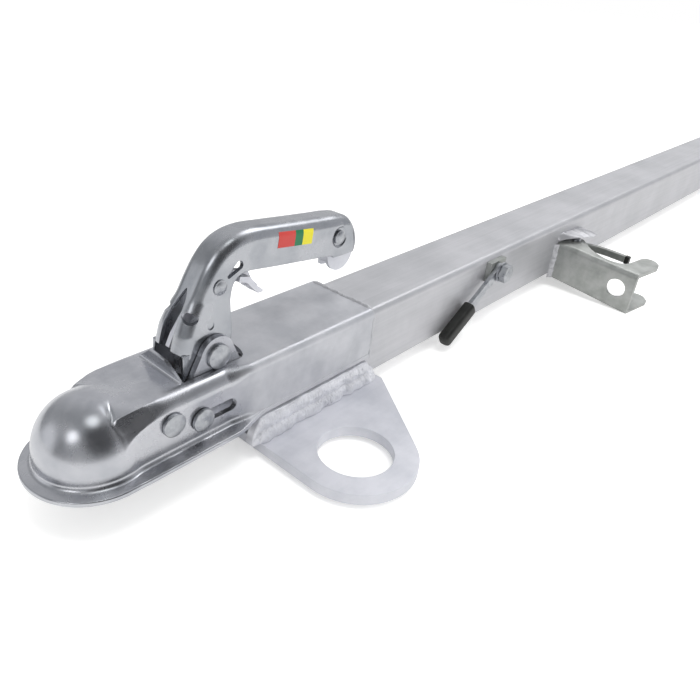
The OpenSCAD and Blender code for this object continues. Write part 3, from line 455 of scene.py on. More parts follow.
def circlePoints(x, z, radius, start=0.0, stop=360.0, count=48):
    angle = np.radians(np.linspace(start, stop, count, endpoint=stop - start < 360))
    return np.stack([x + radius * np.cos(angle), z + radius * np.sin(angle)], -1)


def slotPoints(start, stop, radius):  # two half circles joined by straight sides
    way = np.degrees(np.arctan2(stop[1] - start[1], stop[0] - start[0]))
    return np.concatenate([circlePoints(*start, radius, way + 90, way + 270, 17),
                           circlePoints(*stop, radius, way - 90, way + 90, 17)])


def cutOut(piece, grids):
    # subtracts closed prisms from a piece, applies the result to its mesh and drops the cutters
    cutters = [surfacePiece("cutter", grid, "zinc plated pin", True) for grid in grids]
    for cutter in cutters:
        cut = piece.modifiers.new("opening", "BOOLEAN")
        cut.operation, cut.solver, cut.object = "DIFFERENCE", "EXACT", cutter
    bpy.context.view_layer.update()
    solid = piece.evaluated_get(bpy.context.evaluated_depsgraph_get())
    mesh = bpy.data.meshes.new_from_object(solid)
    old = piece.data
    piece.modifiers.clear()
    piece.data = mesh
    mesh.name = piece.name
    bpy.data.meshes.remove(old)
    finish = mesh.materials[0]
    mesh.materials.clear()
    mesh.materials.append(finish)
    mesh.polygons.foreach_set("material_index", np.zeros(len(mesh.polygons), np.int32))
    smoothFaces(mesh, meshRules["sharp"])
    for cutter in cutters:
        cutterMesh = cutter.data
        bpy.data.objects.remove(cutter)
        bpy.data.meshes.remove(cutterMesh)


def roughField(u, v, size, seed, count=28):
    # a smooth random field of about unit height: a sum of plane waves in seeded directions
    pick = np.random.default_rng(seed)
    turn, phase = pick.uniform(0, 2 * np.pi, (2, count))
    wave = 2 * np.pi / (size * pick.uniform(0.7, 1.5, count))
    field = np.cos(u[..., None] * wave * np.cos(turn) + v[..., None] * wave * np.sin(turn) + phase)
    return field.sum(-1) * np.sqrt(2.0 / count)


def smoothRows(rows, cuts):
    # rows of values joined by a smooth curve that passes through each of them
    rows = np.asarray(rows, float)
    ends = np.concatenate([rows[:1], rows, rows[-1:]])
    place = np.linspace(0, len(rows) - 1, (len(rows) - 1) * cuts + 1)
    i = np.minimum(place.astype(int), len(rows) - 2)
    t = (place - i)[:, None]
    a, b, c, d = (ends[i + k] for k in range(4))
    return 0.5 * (2 * b + (c - a) * t + (2 * a - 5 * b + 4 * c - d) * t ** 2 + (3 * b - a - 3 * c + d) * t ** 3)


# ---- Pressed coupling head ----

headShape = {
    "domeRadius": 28.3, "sheet": 3.0, "neckHalf": 26.8, "socketHalf": 28.7, "top": 25.55, "corner": (8.5, 4.5),
    "flare": (66.0, 80.5), "rimRadius": 35.0, "rimTop": -6.0, "rimRunOut": (64.0, 95.0),
    "fillet": 3.0, "edge": 0.9, "droop": 0.22, "blend": 0.7, "roofRise": 1.6,
    "shoulder": [(0, 28.05), (2, 28.9), (6, 30.3), (12, 31.95), (18, 32.8), (25, 33.1), (190, 33.3)],
    "crease": [(0, -4, -2), (38, -4, -2), (48, 0.5, 3.6), (52, 2.4, 4.2), (63, 4.4, 5.6), (75, 6.6, 7.8),
               (90, 7.6, 8.6)],
    # share of the profile's points up to the side, up to the corner and just past it, and the angles there
    "spread": (0.2, 5 / 9, 2 / 3), "cornerAngle": 50.0, "pastAngle": 58.0,
    # the slanted side below the corner: its middle angle and lean, and how far it lags behind the shoulder
    "slant": {"middle": 43.0, "lean": 7.0, "lag": 2.8, "over": 16.0, "blend": 0.4},
    # stations along x from the socket's end to the dome (first, last, count), then round the dome
    "stations": [(182, 92, 16), (90, 58, 37), (56.5, 30, 18), (29, 0, 105)], "meridians": 81, "columns": 91,
    "mouth": (43.4, 87.5, 17.6), "mouthDepth": (14.0, 30.0),
    "slot": ((47.2, 6.5), (66.2, 6.5), 3.8), "slotDepth": (20.0, 40.0),
    # the mouth's rounded rear edge: distance behind its end and share of its half width
    "mouthBow": [(-6, 1), (-3.6, 0.9), (-1.8, 0.74), (-0.7, 0.52), (-0.1, 0.28), (0, 0)],
    "lip": {"foot": 17.2, "tip": 6.7, "height": 9.6, "bend": 1.8, "sheet": 2.1, "lean": 1.9},
}


def boxRay(angle, half, top, corner):
    # distance from the axis to a rounded box along rays at an angle above the level:
    # the flat side where the ray meets it below the corner, the flat top, and the corner's circle between
    c, s = np.cos(angle), np.sin(angle)
    side, roof = half / np.maximum(c, 1e-6), top / np.maximum(s, 1e-6)
    cx, cz = half - corner, top - corner
    reach = cx * c + cz * s
    arc = reach + np.sqrt(np.maximum(reach ** 2 - cx ** 2 - cz ** 2 + corner ** 2, 0))
    return np.where(side * s <= cz, side, np.where(roof * c <= cx, roof, arc))


def headSection(x, share, inset):
    # radii and angles of the head's face at stations x: the smooth maximum of the ball dome's circle and
    # the neck's box. Seen along the drawbar the box's corner lies at one angle; its radius grows from the
    # dome's to the full box, and roof and slanted side are scaled to meet it there. The neck starts at the
    # crease, a curve given by angle above the level with its width along x. The profile's points crowd
    # round the corner.
    look = headShape
    flare = np.clip((x - look["flare"][0]) / (look["flare"][1] - look["flare"][0]), 0, 1)
    half = look["neckHalf"] + (look["socketHalf"] - look["neckHalf"]) * flare - inset
    bend = look["corner"][0] + (look["corner"][1] - look["corner"][0]) * smoothStep(flare, 0, 1) - inset
    top = look["top"] + look["roofRise"] * (1 - smoothStep(x, 5, 19)) - inset
    reach = np.interp(x, *np.array(look["shoulder"]).T) - inset
    low = np.degrees(np.arctan2(top - bend - 1, half))
    (a, b, c), knee, past = look["spread"], look["cornerAngle"], look["pastAngle"]
    parts = np.where(share < a, share / a * low, np.where(
        share < b, low + (share - a) / (b - a) * (knee - low), np.where(
            share < c, knee + (share - b) / (c - b) * (past - knee), past + (share - c) / (1 - c) * (90 - past))))
    degrees = share * 90 + (parts - share * 90) * smoothStep(x, 0, 10)
    angle, corner, slope = np.radians(degrees), np.radians(knee), look["slant"]
    box = boxRay(angle, half, top, bend)
    flat, full = top / np.maximum(np.sin(angle), 0.5), top / np.sin(corner)
    roof = top + (np.minimum(reach, full) - top) * (flat - top) / (full - top)
    lag = slope["lag"] * np.clip((knee - degrees) / slope["over"], 0, 1)
    late = np.interp(x - lag, *np.array(look["shoulder"]).T) - inset
    slant = np.cos(np.radians(slope["lean"])) / np.cos(angle - np.radians(slope["middle"]))
    slant = late * slant ** smoothStep(x, 2, 13)
    side = 0.5 * (box + slant - np.sqrt((box - slant) ** 2 + slope["blend"] ** 2)) + slope["blend"] / 4
    neck = np.where(degrees > knee + 0.001, np.where(full > reach, roof, box), side)
    neck = neck + (box - neck) * smoothStep(x, 16, 32)
    dome = np.sqrt(np.maximum((look["domeRadius"] - inset) ** 2 - x ** 2, 0))
    table = np.array(look["crease"]).T
    start, stop = np.interp(degrees, table[0], table[1]), np.interp(degrees, table[0], table[2])
    neck = dome + (neck - dome) * np.where(neck > dome, smoothStep(x, start + inset * 0.6, stop + inset * 0.6), 1)
    soft = look["blend"] * smoothStep(x, 0, 5)
    return 0.5 * (dome + neck + np.sqrt((dome - neck) ** 2 + soft ** 2)), angle


def makeHead():
    # Each row of the grid is one profile: along the neck a section square to the drawbar, round the dome a
    # meridian. A profile runs from the top down the outside, round the fillet, out along the rim, round its
    # edge and back up the inside, so the pressing is one closed skin of even sheet.
    look = headShape
    back = np.concatenate([np.linspace(*run) for run in look["stations"]])
    turn = np.linspace(0, 1, look["meridians"])[1:-1]
    x = np.concatenate([back, np.zeros(turn.size), back[::-1]])[:, None]
    swing = np.concatenate([np.zeros(back.size), turn, np.ones(back.size)])[:, None]
    outX, outY = -np.sin(np.pi * swing), -np.cos(np.pi * swing)
    share = np.linspace(1, 0, look["columns"])[None, :]
    outer, outAngle = headSection(x, share, 0.0)
    inner, inAngle = headSection(x, share[:, ::-1], look["sheet"])
    wall, wallIn = outer[:, -1:], inner[:, :1]
    runOut = smoothStep(x, *look["rimRunOut"])
    edge = np.maximum(look["rimRadius"] + (look["socketHalf"] - look["rimRadius"]) * runOut, wall + 0.3)
    fillet = np.clip(edge - wall - 1.0, 0.08, look["fillet"])
    ease = np.minimum(look["edge"], (edge - wall - fillet) * 0.8)
    quarter = np.linspace(0, np.pi / 2, 9)[None, :]
    down = np.linspace(0, 1, 6)[None, 1:]
    rimTop, rimLow = look["rimTop"], look["rimTop"] - look["sheet"]
    drop = look["droop"] * (edge - wall - fillet) * (1 - runOut)
    bend = 0.08 + (fillet + look["sheet"] - 0.08) * (1 - runOut)
    knee = rimTop + fillet
    parts = [
        (outer * np.cos(outAngle), outer * np.sin(outAngle)),
        (wall + 0 * down, knee * down),
        (wall + fillet - fillet * np.cos(quarter), knee - fillet * np.sin(quarter)),
        (edge - ease + ease * np.sin(quarter), rimTop - drop - ease + ease * np.cos(quarter)),
        (edge - ease + ease * np.cos(quarter), rimLow - drop + ease - ease * np.sin(quarter)),
        (wallIn + bend - bend * np.sin(quarter), rimLow + bend - bend * np.cos(quarter)),
        (wallIn + 0 * down, (rimLow + bend) * (1 - down)),
        (inner * np.cos(inAngle), inner * np.sin(inAngle)),
    ]
    r = np.concatenate([part[0] + 0 * x for part in parts], 1)
    z = np.concatenate([part[1] + 0 * x for part in parts], 1)
    head = surfacePiece("coupling_head", np.stack([x + r * outX, r * outY, z], -1), "zinc plated pressing")
    front, rear, half = look["mouth"]
    bow = np.array(look["mouthBow"])
    side = np.stack([rear + bow[:, 0], half * bow[:, 1]], -1)
    mouth = np.concatenate([[(front, half)], side, side[::-1] * (1, -1), [(front, -half)]])
    slot = slotPoints(*look["slot"])
    near, far = look["slotDepth"]
    cutOut(head, [prismGrid(mouth, "z", *look["mouthDepth"]), prismGrid(slot, "y", -far, -near),
                  prismGrid(slot, "y", near, far)])
    standFor(head, "coupling_housing")


def makeLip():
    # the tab turned up at the opening's front edge: a quarter bend off the roof, then straight up and
    # leaning forward a little, narrowing from foot to tip; the closed section carries its thickness
    look, tab = headShape, headShape["lip"]
    front, thick, bend = look["mouth"][0] + 0.2, tab["sheet"], tab["bend"]
    angle = np.linspace(0, np.pi / 2, 9)
    faceX = np.concatenate([front - thick - bend + bend * np.sin(angle), [front - thick] * 6])
    faceZ = np.concatenate([0.02 + bend - bend * np.cos(angle), np.linspace(bend + 0.8, tab["height"] - 0.4, 6)])
    profileX = np.concatenate([faceX, [front - thick + 0.4, front - 0.4, front], [front, front - thick - bend]])
    profileZ = np.concatenate([faceZ, tab["height"] - np.array([0.0, 0.0, 0.4]), [-1.2, -1.2]])
    rise = np.clip((profileZ - 0.8) / (tab["height"] - 1.4), 0, 1)
    half = tab["foot"] + (tab["tip"] - tab["foot"]) * rise
    across = np.concatenate([[-1], np.linspace(-0.97, 0.97, 25), [1]])[:, None]
    points = np.stack([profileX - tab["lean"] * rise + 0 * across, across * half,
                       look["top"] + profileZ + 0 * across], -1)
    lip = surfacePiece("mouth_lip", points, "zinc plated pressing", True)
    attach(lip, bodyOf("coupling_housing"))


springShape = {"front": 58.35, "rear": 106.35, "height": 6.0, "radius": 5.8, "wire": 2.0, "turns": 8, "closed": 2.5,
               "keep": 0.687}


def makeSpring():
    # a round wire carried along a helix with closed end turns; it shortens as the lock slide moves back
    look = springShape
    u = np.linspace(0, 1, 28 * look["turns"] + 1)[:, None]
    long, one = look["rear"] - look["front"] - look["wire"], 1 / look["turns"]
    along = np.interp(u, [0, one, 1 - one, 1], [0, look["closed"], long - look["closed"], long])
    turn, around = 2 * np.pi * look["turns"] * u, np.linspace(0, 2 * np.pi, 14, endpoint=False)[None, :]
    reach = look["radius"] + look["wire"] / 2 * np.cos(around)
    x = look["front"] + look["wire"] / 2 + along + look["wire"] / 2 * np.sin(around)
    points = np.stack([x, reach * np.sin(turn), look["height"] - reach * np.cos(turn)], -1)
    spring = surfacePiece("coil_spring", points, "oiled spring wire", True, meshRules["soft"])
    standFor(spring, "lock_spring")
    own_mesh(spring)


# ---- Pressed handle ----

handleShape = {
    "half": 10.5, "cheek": 13.3, "bend": 7.0, "sheet": 2.5, "edge": 0.5,
    "pin": (65.5, 32.5, 4.6), "rivet": (163.0, 72.5, 3.1), "slideSlot": ((47.2, 6.5), (47.9, 13.1), 4.1),
    "joggle": {"from": (61.0, 60.9), "to": (76.4, 58.3), "depth": 17.0}, "dimple": (162.9, 72.8, 6.6, 5.2, 1.1),
    # the keyhole's two arcs (x, z, radius, first and last angle), the oval hole on the bend and the blind hole
    "keyhole": ((85, 75.4, 2.7, -47.5, 112.5, 21), (78.4, 71.2, 1.2, 122.5, 302.5, 15)),
    "oval": {"at": (53.6, 9.6, 54.4), "half": (4.4, 2.7), "turn": 45, "depth": 4.5, "lean": 0.12},
    "blindHole": {"at": (64.7, 48.3, 2.3), "from": 12.1, "to": 16.0},
    "through": (-30.0, 30.0), "forkReach": (20.0, 62.0),
    "label": {"at": (111.7, 78.3), "lean": -7.6, "length": 26.8, "height": 8.6, "thick": 0.12},
    # the end plate: its round tab and boss, and in side view the pocket between its cheeks and the cut that
    # shortens the far cheek
    "endPlate": {"tab": (168.8, 60.4, 11.2, 178, 385, 40), "boss": (163.0, 72.5, 6.0, 20, 175, 20), "half": 6.8,
                 "sheet": 2.2, "pocket": [(158.5, 40), (200, 40), (200, 90), (150, 90), (150, 71), (158.5, 66)],
                 "short": [(145, 40), (164.5, 40), (164.5, 62), (145, 66)], "shortTo": 9.0},
    # half outline of the fork's gap in front, from its top down, and the stations of the sweep: the web's
    # line (x, z) and the free edge's (x, z)
    "fork": [(0.3, 66.5), (1.6, 64.5), (3.0, 60.5), (4.2, 55.0), (4.8, 49.0), (5.0, 30.0)],
    "rows": [(44.8, 37.5, 76, 19), (46, 42.2, 77, 30), (48.2, 48.6, 78.4, 42), (52.2, 55.4, 79, 52),
             (57.4, 62.7, 79.6, 59), (62.4, 71.2, 80.8, 64.5), (67.9, 79.2, 83, 68), (74.8, 86, 86, 70),
             (84, 90.4, 90.5, 70.6), (96.1, 91.8, 97, 70), (112.2, 90.3, 110, 68.2), (130.3, 88.3, 128, 66),
             (150.3, 86.2, 147, 63.6), (163, 84.9, 153, 62.8), (172.8, 82.4, 155.5, 62.4), (179.2, 75.3, 157, 62),
             (181.9, 67, 158, 61.4), (181.2, 60.3, 158.5, 60.8)],
    # the lower arms' outline and the round end about the slide pin
    "arm": [(39.7, 7.5), (38.6, 14.0), (44.6, 20.0), (46.5, 24.0), (46.3, 31.0), (46.6, 37.0), (72.0, 38.0),
            (74.0, 24.0), (60.0, 18.0), (54.6, 7.5)], "armEnd": (47.2, 6.5, 7.5, 0, -180, 25),
}


def halfSection(depth, inset):
    # right half of the pressed section from its free edge to the web's middle: the straight side,
    # a quarter bend and the flat web; distance across and depth below the web for every station
    look = handleShape
    quarter = np.linspace(0, np.pi / 2, 13)[None, :]
    radius = look["bend"] - inset
    side = depth - look["edge"] + (look["bend"] + 0.15 - depth + look["edge"]) * np.linspace(0, 1, 34)[None, :]
    flat = (look["half"] - look["bend"]) * np.linspace(1, 0, 7)[None, 1:]
    across = np.concatenate([look["half"] - inset + 0 * side, look["half"] - look["bend"] + radius * np.cos(quarter)
                             + 0 * depth, flat + 0 * depth], 1)
    deep = np.concatenate([side, look["bend"] - radius * np.sin(quarter) + 0 * depth,
                           inset + 0 * flat + 0 * depth], 1)
    return across, deep


def sideShift(x, z, deep):
    # how far the sides stand out (mm): below the joggle line they slope outward in one flat panel to the
    # cheeks' width; round the end rivet a shallow dimple is pressed in
    look = handleShape["joggle"]
    (x0, z0), (x1, z1) = look["from"], look["to"]
    below = ((z1 - z0) * (x - x0) - (x1 - x0) * (z - z0)) / np.hypot(x1 - x0, z1 - z0)
    shift = (handleShape["cheek"] - handleShape["half"]) * np.clip(below / look["depth"], 0, 1)
    atX, atZ, outer, inner, depth = handleShape["dimple"]
    away = np.hypot(x - atX, z - atZ)
    shift = shift - depth * (1 - smoothStep(away, inner, outer)) * (deep > 4)
    return shift


def handleStations(cuts):
    rows = smoothRows(handleShape["rows"], cuts)
    web, edge = rows[:, :2], rows[:, 2:]
    depth = np.linalg.norm(edge - web, axis=1)[:, None]
    return web, (edge - web) / depth, depth


def makeHandle():
    # the section's closed ring carried along the handle's stations: outer face from the left free edge over
    # the web to the right one, round that edge, then back along the inner face
    look = handleShape
    web, fall, depth = handleStations(10)
    outY, outD = halfSection(depth, 0.0)
    inY, inD = halfSection(depth, look["sheet"])
    lip = np.linspace(0, np.pi / 2, 5)[None, 1:-1]
    near = look["half"] - look["edge"] + look["edge"] * np.cos(lip)
    far = look["half"] - look["sheet"] + look["edge"] - look["edge"] * np.sin(lip)
    lipY = np.concatenate([near, far], 1) + 0 * depth
    lipD = depth - look["edge"] + look["edge"] * np.concatenate([np.sin(lip), np.cos(lip)], 1)
    ringY = np.concatenate([-outY, outY[:, -2::-1], lipY, inY, -inY[:, -2::-1], -lipY[:, ::-1]], 1)
    ringD = np.concatenate([outD, outD[:, -2::-1], lipD, inD, inD[:, -2::-1], lipD[:, ::-1]], 1)
    x = web[:, :1] + fall[:, :1] * ringD
    z = web[:, 1:] + fall[:, 1:] * ringD
    ringY = ringY + ringY / look["half"] * sideShift(x, z, ringD)
    handle = surfacePiece("coupling_handle_pressing", np.stack([x, ringY, z], -1), "zinc plated handle, painted darker", True)
    fork = np.array(look["fork"])
    fork = np.concatenate([fork, fork[::-1] * (-1, 1)])
    keyhole = np.concatenate([circlePoints(*arc) for arc in look["keyhole"]])
    slot = slotPoints(*look["slideSlot"])
    hole, blind = look["oval"], look["blindHole"]
    oval = circlePoints(0, 0, 1.0, 0, 360, 28) * hole["half"]
    bores = []
    for side in (-1, 1):
        # the oval hole lies on the bend, so its prism is turned about the vertical
        turn = np.radians(hole["turn"])
        reach = np.array([-hole["depth"], hole["depth"]])[:, None]
        points = np.zeros((2, len(oval), 3))
        points[..., 0] = hole["at"][0] + np.cos(turn) * reach + np.sin(turn) * oval[:, 0]
        points[..., 1] = side * (hole["at"][1] - np.sin(turn) * reach + np.cos(turn) * oval[:, 0])
        points[..., 2] = hole["at"][2] + oval[:, 1] - hole["lean"] * oval[:, 0]
        mark = circlePoints(*blind["at"], 0, 360, 28)
        bores += [points, prismGrid(mark, "y", side * blind["from"], side * blind["to"])]
    through = look["through"]
    pinBore, rivetBore = circlePoints(*look["pin"]), circlePoints(*look["rivet"])
    across = [prismGrid(flat, "y", *through) for flat in (keyhole, slot, pinBore, rivetBore)]
    cutOut(handle, [prismGrid(fork, "x", *look["forkReach"])] + across + bores)
    standFor(handle, "coupling_handle")
    # the cheeks' lower arms, which reach down to the slide pin
    arm = np.concatenate([look["arm"], circlePoints(*look["armEnd"])])
    near = look["cheek"] - 0.1
    for side, name in ((-1, "handle_arm_near"), (1, "handle_arm_far")):
        points = prismGrid(arm, "y", side * near, side * (near - look["sheet"] + 0.2))
        piece = surfacePiece(name, points, "zinc plated handle, painted darker", True)
        cutOut(piece, [prismGrid(flat, "y", *through) for flat in (slot, pinBore)])
        easeEdges(piece, look["edge"])
        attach(piece, bodyOf("coupling_handle"))


def makeLabel():
    # a thin film that lies on the handle's side and follows its bend: the depth below the web's line gives
    # the quarter bend's offset
    look, film = handleShape, handleShape["label"]
    web = handleStations(4)[0]
    u, v = np.meshgrid(np.linspace(0, film["length"], 41), np.linspace(0, film["height"], 19), indexing="ij")
    lean = np.radians(film["lean"])
    x = film["at"][0] + u * np.cos(lean) - v * np.sin(lean)
    z = film["at"][1] + u * np.sin(lean) + v * np.cos(lean)
    away = np.clip(look["bend"] - (np.interp(x, web[:, 0], web[:, 1]) - z), 0, look["bend"])
    back = look["bend"] - np.sqrt(look["bend"] ** 2 - away ** 2)
    front = np.stack([x, -(look["half"] - back + film["thick"]), z], -1)
    rear = np.stack([x, -(look["half"] - back - 0.15), z], -1)
    label = surfacePiece("label_film", np.concatenate([front, rear[:, ::-1]], 1), "printed label film", True)
    standFor(label, "handle_label")


def makeEndPlate():
    # the folded end plate: both its cheeks are a round tab joined to the rivet's boss, the fold is in front
    look = handleShape["endPlate"]
    outline = np.concatenate([circlePoints(*look["tab"]), circlePoints(*look["boss"])])
    plate = surfacePiece("end_plate", prismGrid(outline, "y", -look["half"], look["half"]), "zinc plated plate", True)
    inner = look["half"] - look["sheet"]
    bore = circlePoints(*handleShape["rivet"])
    cutOut(plate, [prismGrid(look["pocket"], "y", -inner, inner), prismGrid(bore, "y", *handleShape["through"]),
                   prismGrid(look["short"], "y", 0.0, look["shortTo"])])
    standFor(plate, "handle_end_plate")


# ---- Welds and grip ----

weldShape = {
    # ripple spacing and height, and the height and size of lumps and pits, all in mm
    "ripple": 2.0, "depth": 0.20, "lump": (0.10, 4.0), "pit": (0.07, 1.1), "stagger": 9.0, "core": 24.4,
    "plate": {"from": 80.0, "to": 193.5, "top": -11.3, "foot": -31.6, "floor": -27.65, "bulge": 1.15, "wall": -28.6},
    "back": {"from": 87.0, "to": 191.5, "top": -21.8, "foot": 27.0, "floor": -27.65, "bulge": 0.5, "wall": 25.1},
    # where the socket's wall ends, how far the tube's wall lies inside it and how far the toe drops there
    "step": {"ends": (180, 184), "inward": 3.3, "drop": 6.0},
    "sleeve": {"at": 182.2, "wide": 2.4, "tall": 4.2, "stop": 150.0, "ripple": 2.2,
               "tube": (25.0, 22.5, 4.5, -9.5)},
    "root": {"from": 454.6, "to": 507.0, "flange": 4.05, "lip": 4.2, "noise": 0.035, "ripple": 0.02,
             "reach": [(454, 5), (462, 8.5), (474, 12.5), (484, 18), (494, 21), (507, 13)],
             "height": [(454, 0.95), (465, 0.6), (475, 0.4), (490, 0.3), (507, 0.2)],
             "outline": [(0, 0.2), (-0.14, 0.2), (-0.2, 3.0), (-0.62, 3.3), (-0.97, 4.2), (-1, 5.2), (-0.72, 8),
                         (-0.3, 10.6), (0, 12.0)]},
    "seam": {"x": 453.7, "leg": 3.3, "low": -29.0, "high": 3.4}, "wall": -24.95,
}


def ripples(along, across, size):
    # crescent ripples of a weld pass: a wave along the seam whose phase bends back towards the toes
    wave = np.abs(np.sin(np.pi * (along / size + 0.8 * across ** 2)))
    return wave ** 0.7 - 0.65


def plateWeldFace(part, passes, side, seed):
    # the fillet under the tube: chords from a wandering upper toe to a wandering lower toe, each pass
    # bulging outward between them, with ripples, lumps and fine pits added square to the chord. On the near
    # side the toes follow the socket's wall, then the tube's where the socket ends.
    look = weldShape
    x, v = np.meshgrid(np.linspace(part["from"], part["to"], 420), np.linspace(0, 1, 46), indexing="ij")
    drift = roughField(x[:, :1], 0 * x[:, :1], 16, seed), roughField(x[:, :1], 0 * x[:, :1], 11, seed + 1)
    close = np.clip(np.minimum(x[:, :1] - part["from"], part["to"] - x[:, :1]) / 7, 0, 1) ** 0.5
    onTube = smoothStep(x[:, :1], *look["step"]["ends"]) if side < 0 else 0 * x[:, :1]
    topY = part["wall"] + look["step"]["inward"] * onTube
    topZ = part["floor"] + (part["top"] - part["floor"] + 0.35 * drift[0] - look["step"]["drop"] * onTube) * close
    footY = topY + (part["foot"] - topY + side * 0.6 * drift[1]) * (0.25 + 0.75 * close)
    spanY, spanZ = footY - topY, part["floor"] - topZ
    length = np.hypot(spanY, spanZ) + 1e-6
    local = (v * passes) % 1 * 2 - 1
    swell = part["bulge"] * np.sqrt(np.maximum(1 - local ** 2, 0)) * close
    rough = look["depth"] * ripples(x + look["stagger"] * (v * passes).astype(int), local, look["ripple"])
    for number, (height, size) in enumerate([look["lump"], look["pit"]]):
        rough = rough + height * roughField(x, v * length, size, seed + 2 + number)
    out = swell + rough * np.minimum(1, np.minimum(v, 1 - v) * 9) * close
    y = topY + spanY * v + side * out * np.abs(spanZ) / length
    z = topZ + spanZ * v + out * np.abs(spanY) / length
    inner = side * look["core"] + 0 * topZ
    return np.concatenate([np.stack([x, y, z], -1), np.stack([x[:, :1], inner, part["floor"] + 0 * topZ], -1),
                           np.stack([x[:, :1], inner, topZ + 0.4], -1)], 1)


def weldBead(name, points, node, finish="galvanised weld bead"):
    bead = surfacePiece(name, points, finish, True, meshRules["soft"])
    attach(bead, bodyOf(node))
    return bead


def makeWelds():
    look = weldShape
    for number, (part, passes, side) in enumerate([(look["plate"], 2, -1), (look["back"], 1, 1)]):
        bead = weldBead("plate_weld", plateWeldFace(part, passes, side, 11 + 7 * number), "eye_plate_weld")
        if number == 0:
            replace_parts(bead, "eye_plate_weld")
    # the bead round the socket's rear edge: part of an ellipse, from the tube over the edge of the sheet,
    # carried round the tube's outline
    ring = look["sleeve"]
    half, top, corner, foot = ring["tube"]
    turn = np.linspace(0, np.pi / 2, 16)
    left = np.stack([-(half - corner) - corner * np.sin(turn[::-1]), top - corner + corner * np.cos(turn[::-1])], -1)
    rise = np.stack([np.full(60, -half), np.linspace(foot, top - corner, 60)], -1)
    across = np.stack([np.linspace(-(half - corner), 0, 60), np.full(60, top)], -1)
    route = np.concatenate([rise[:-1], left[:-1], across])
    route = np.concatenate([route, (route * (-1, 1))[-2::-1]])
    step = np.gradient(route, axis=0)
    step = step / np.linalg.norm(step, axis=1)[:, None]
    out = np.stack([-step[:, 1], step[:, 0]], -1)
    length = np.concatenate([[0], np.cumsum(np.linalg.norm(np.diff(route, axis=0), axis=1))])[:, None]
    t = np.linspace(0, np.radians(ring["stop"]), 22)[None, :]
    size = 1 + 0.05 * ripples(length, t - 1.2, ring["ripple"]) + 0.05 * roughField(length, t * 2, 6, 41)
    forth = np.concatenate([ring["at"] + ring["wide"] * size * np.cos(t), ring["at"] - 1.0 + 0 * length,
                            ring["at"] + ring["wide"] + 0 * length], 1)
    lift = np.concatenate([ring["tall"] * size * np.sin(t), 0.2 + 0 * length, -0.4 + 0 * length], 1)
    points = np.stack([forth, route[:, :1] + out[:, :1] * lift, route[:, 1:] + out[:, 1:] * lift], -1)
    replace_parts(weldBead("sleeve_bead", points, "sleeve_weld", "galvanised tube, hot dipped"), "sleeve_weld")
    # the heavy bead at the clamp bracket's root: its overhanging outline, swelling and dying out along the
    # tube and roughened, and the small fillet down the bracket's front face
    root = look["root"]
    outline = smoothRows(root["outline"], 6)
    u = np.linspace(0, 1, 70)[:, None]
    swell = np.clip(1 - np.abs(2 * u - 1) ** 2.6, 0.02, 1) ** 0.5
    x = root["from"] + (root["to"] - root["from"]) * u
    sideways, upward = outline[None, :, 0], outline[None, :, 1]
    ridge = 1 + root["noise"] * roughField(x, upward, 9, 61) + root["ripple"] * ripples(x, upward / 12, 4.2)
    y = look["wall"] + sideways * np.interp(x, *np.array(root["reach"]).T) * swell * ridge
    lip, tall = root["lip"], np.interp(x, *np.array(root["height"]).T)
    z = root["flange"] + np.where(upward > lip, lip + (upward - lip) * tall, upward) * (0.5 + 0.5 * swell) * ridge
    points = np.stack([x + 0 * y, y, z], -1)
    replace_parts(weldBead("root_bead", points, "bracket_weld", "galvanised tube, hot dipped"), "bracket_weld")
    seam = look["seam"]
    z, v = np.meshgrid(np.linspace(seam["low"], seam["high"], 90), np.linspace(0, 1, 12), indexing="ij")
    leg = seam["leg"] * (1 + 0.12 * ripples(z, 2 * v - 1, 2.4) + 0.08 * roughField(z, v * 4, 5, 71))
    face = np.stack([seam["x"] - leg * (1 - v) ** 1.2, look["wall"] - leg * v ** 1.2, z], -1)
    core = np.stack([seam["x"] + 0.3 + 0 * z[:, :1], look["wall"] + 0.25 + 0 * z[:, :1], z[:, :1]], -1)
    weldBead("bracket_seam", np.concatenate([face, core], 1), "bracket_weld", "galvanised tube, hot dipped")


bracketShape = {
    "x": 453.7, "sheet": 3.2, "bend": 4.6, "root": -25.05, "tip": 505.0,
    "top": [(-110, -1.6), (-100, -1.1), (-60, 2.0), (-42, 4.0), (-25, 4.0)],
    "low": [(-110, -40.2), (-100, -39.0), (-25, -29.6)],
    # plan of the flanges' free edge: its smooth part and the straight end, and the waste beyond it
    "cradle": [(484.0, -37.2), (476.0, -44.0), (467.5, -53.5), (461.8, -68.3), (464.0, -79.0), (470.0, -84.2),
               (480.0, -86.2), (495.0, -88.4), (499.5, -92.0), (500.0, -98.0), (494.5, -103.4)],
    "corner": [(487.0, -104.8), (456.0, -100.4), (452.0, -99.9)], "start": (484.0, -15.0),
    "waste": [(430, -99.9), (430, -130), (530, -130), (530, -15)], "wasteHeight": (-60.0, 30.0),
    "hole": (-85.4, -18.0, 8.2), "holeReach": (445.0, 459.0), "pinHole": (477.3, -32.5, 3.05),
}


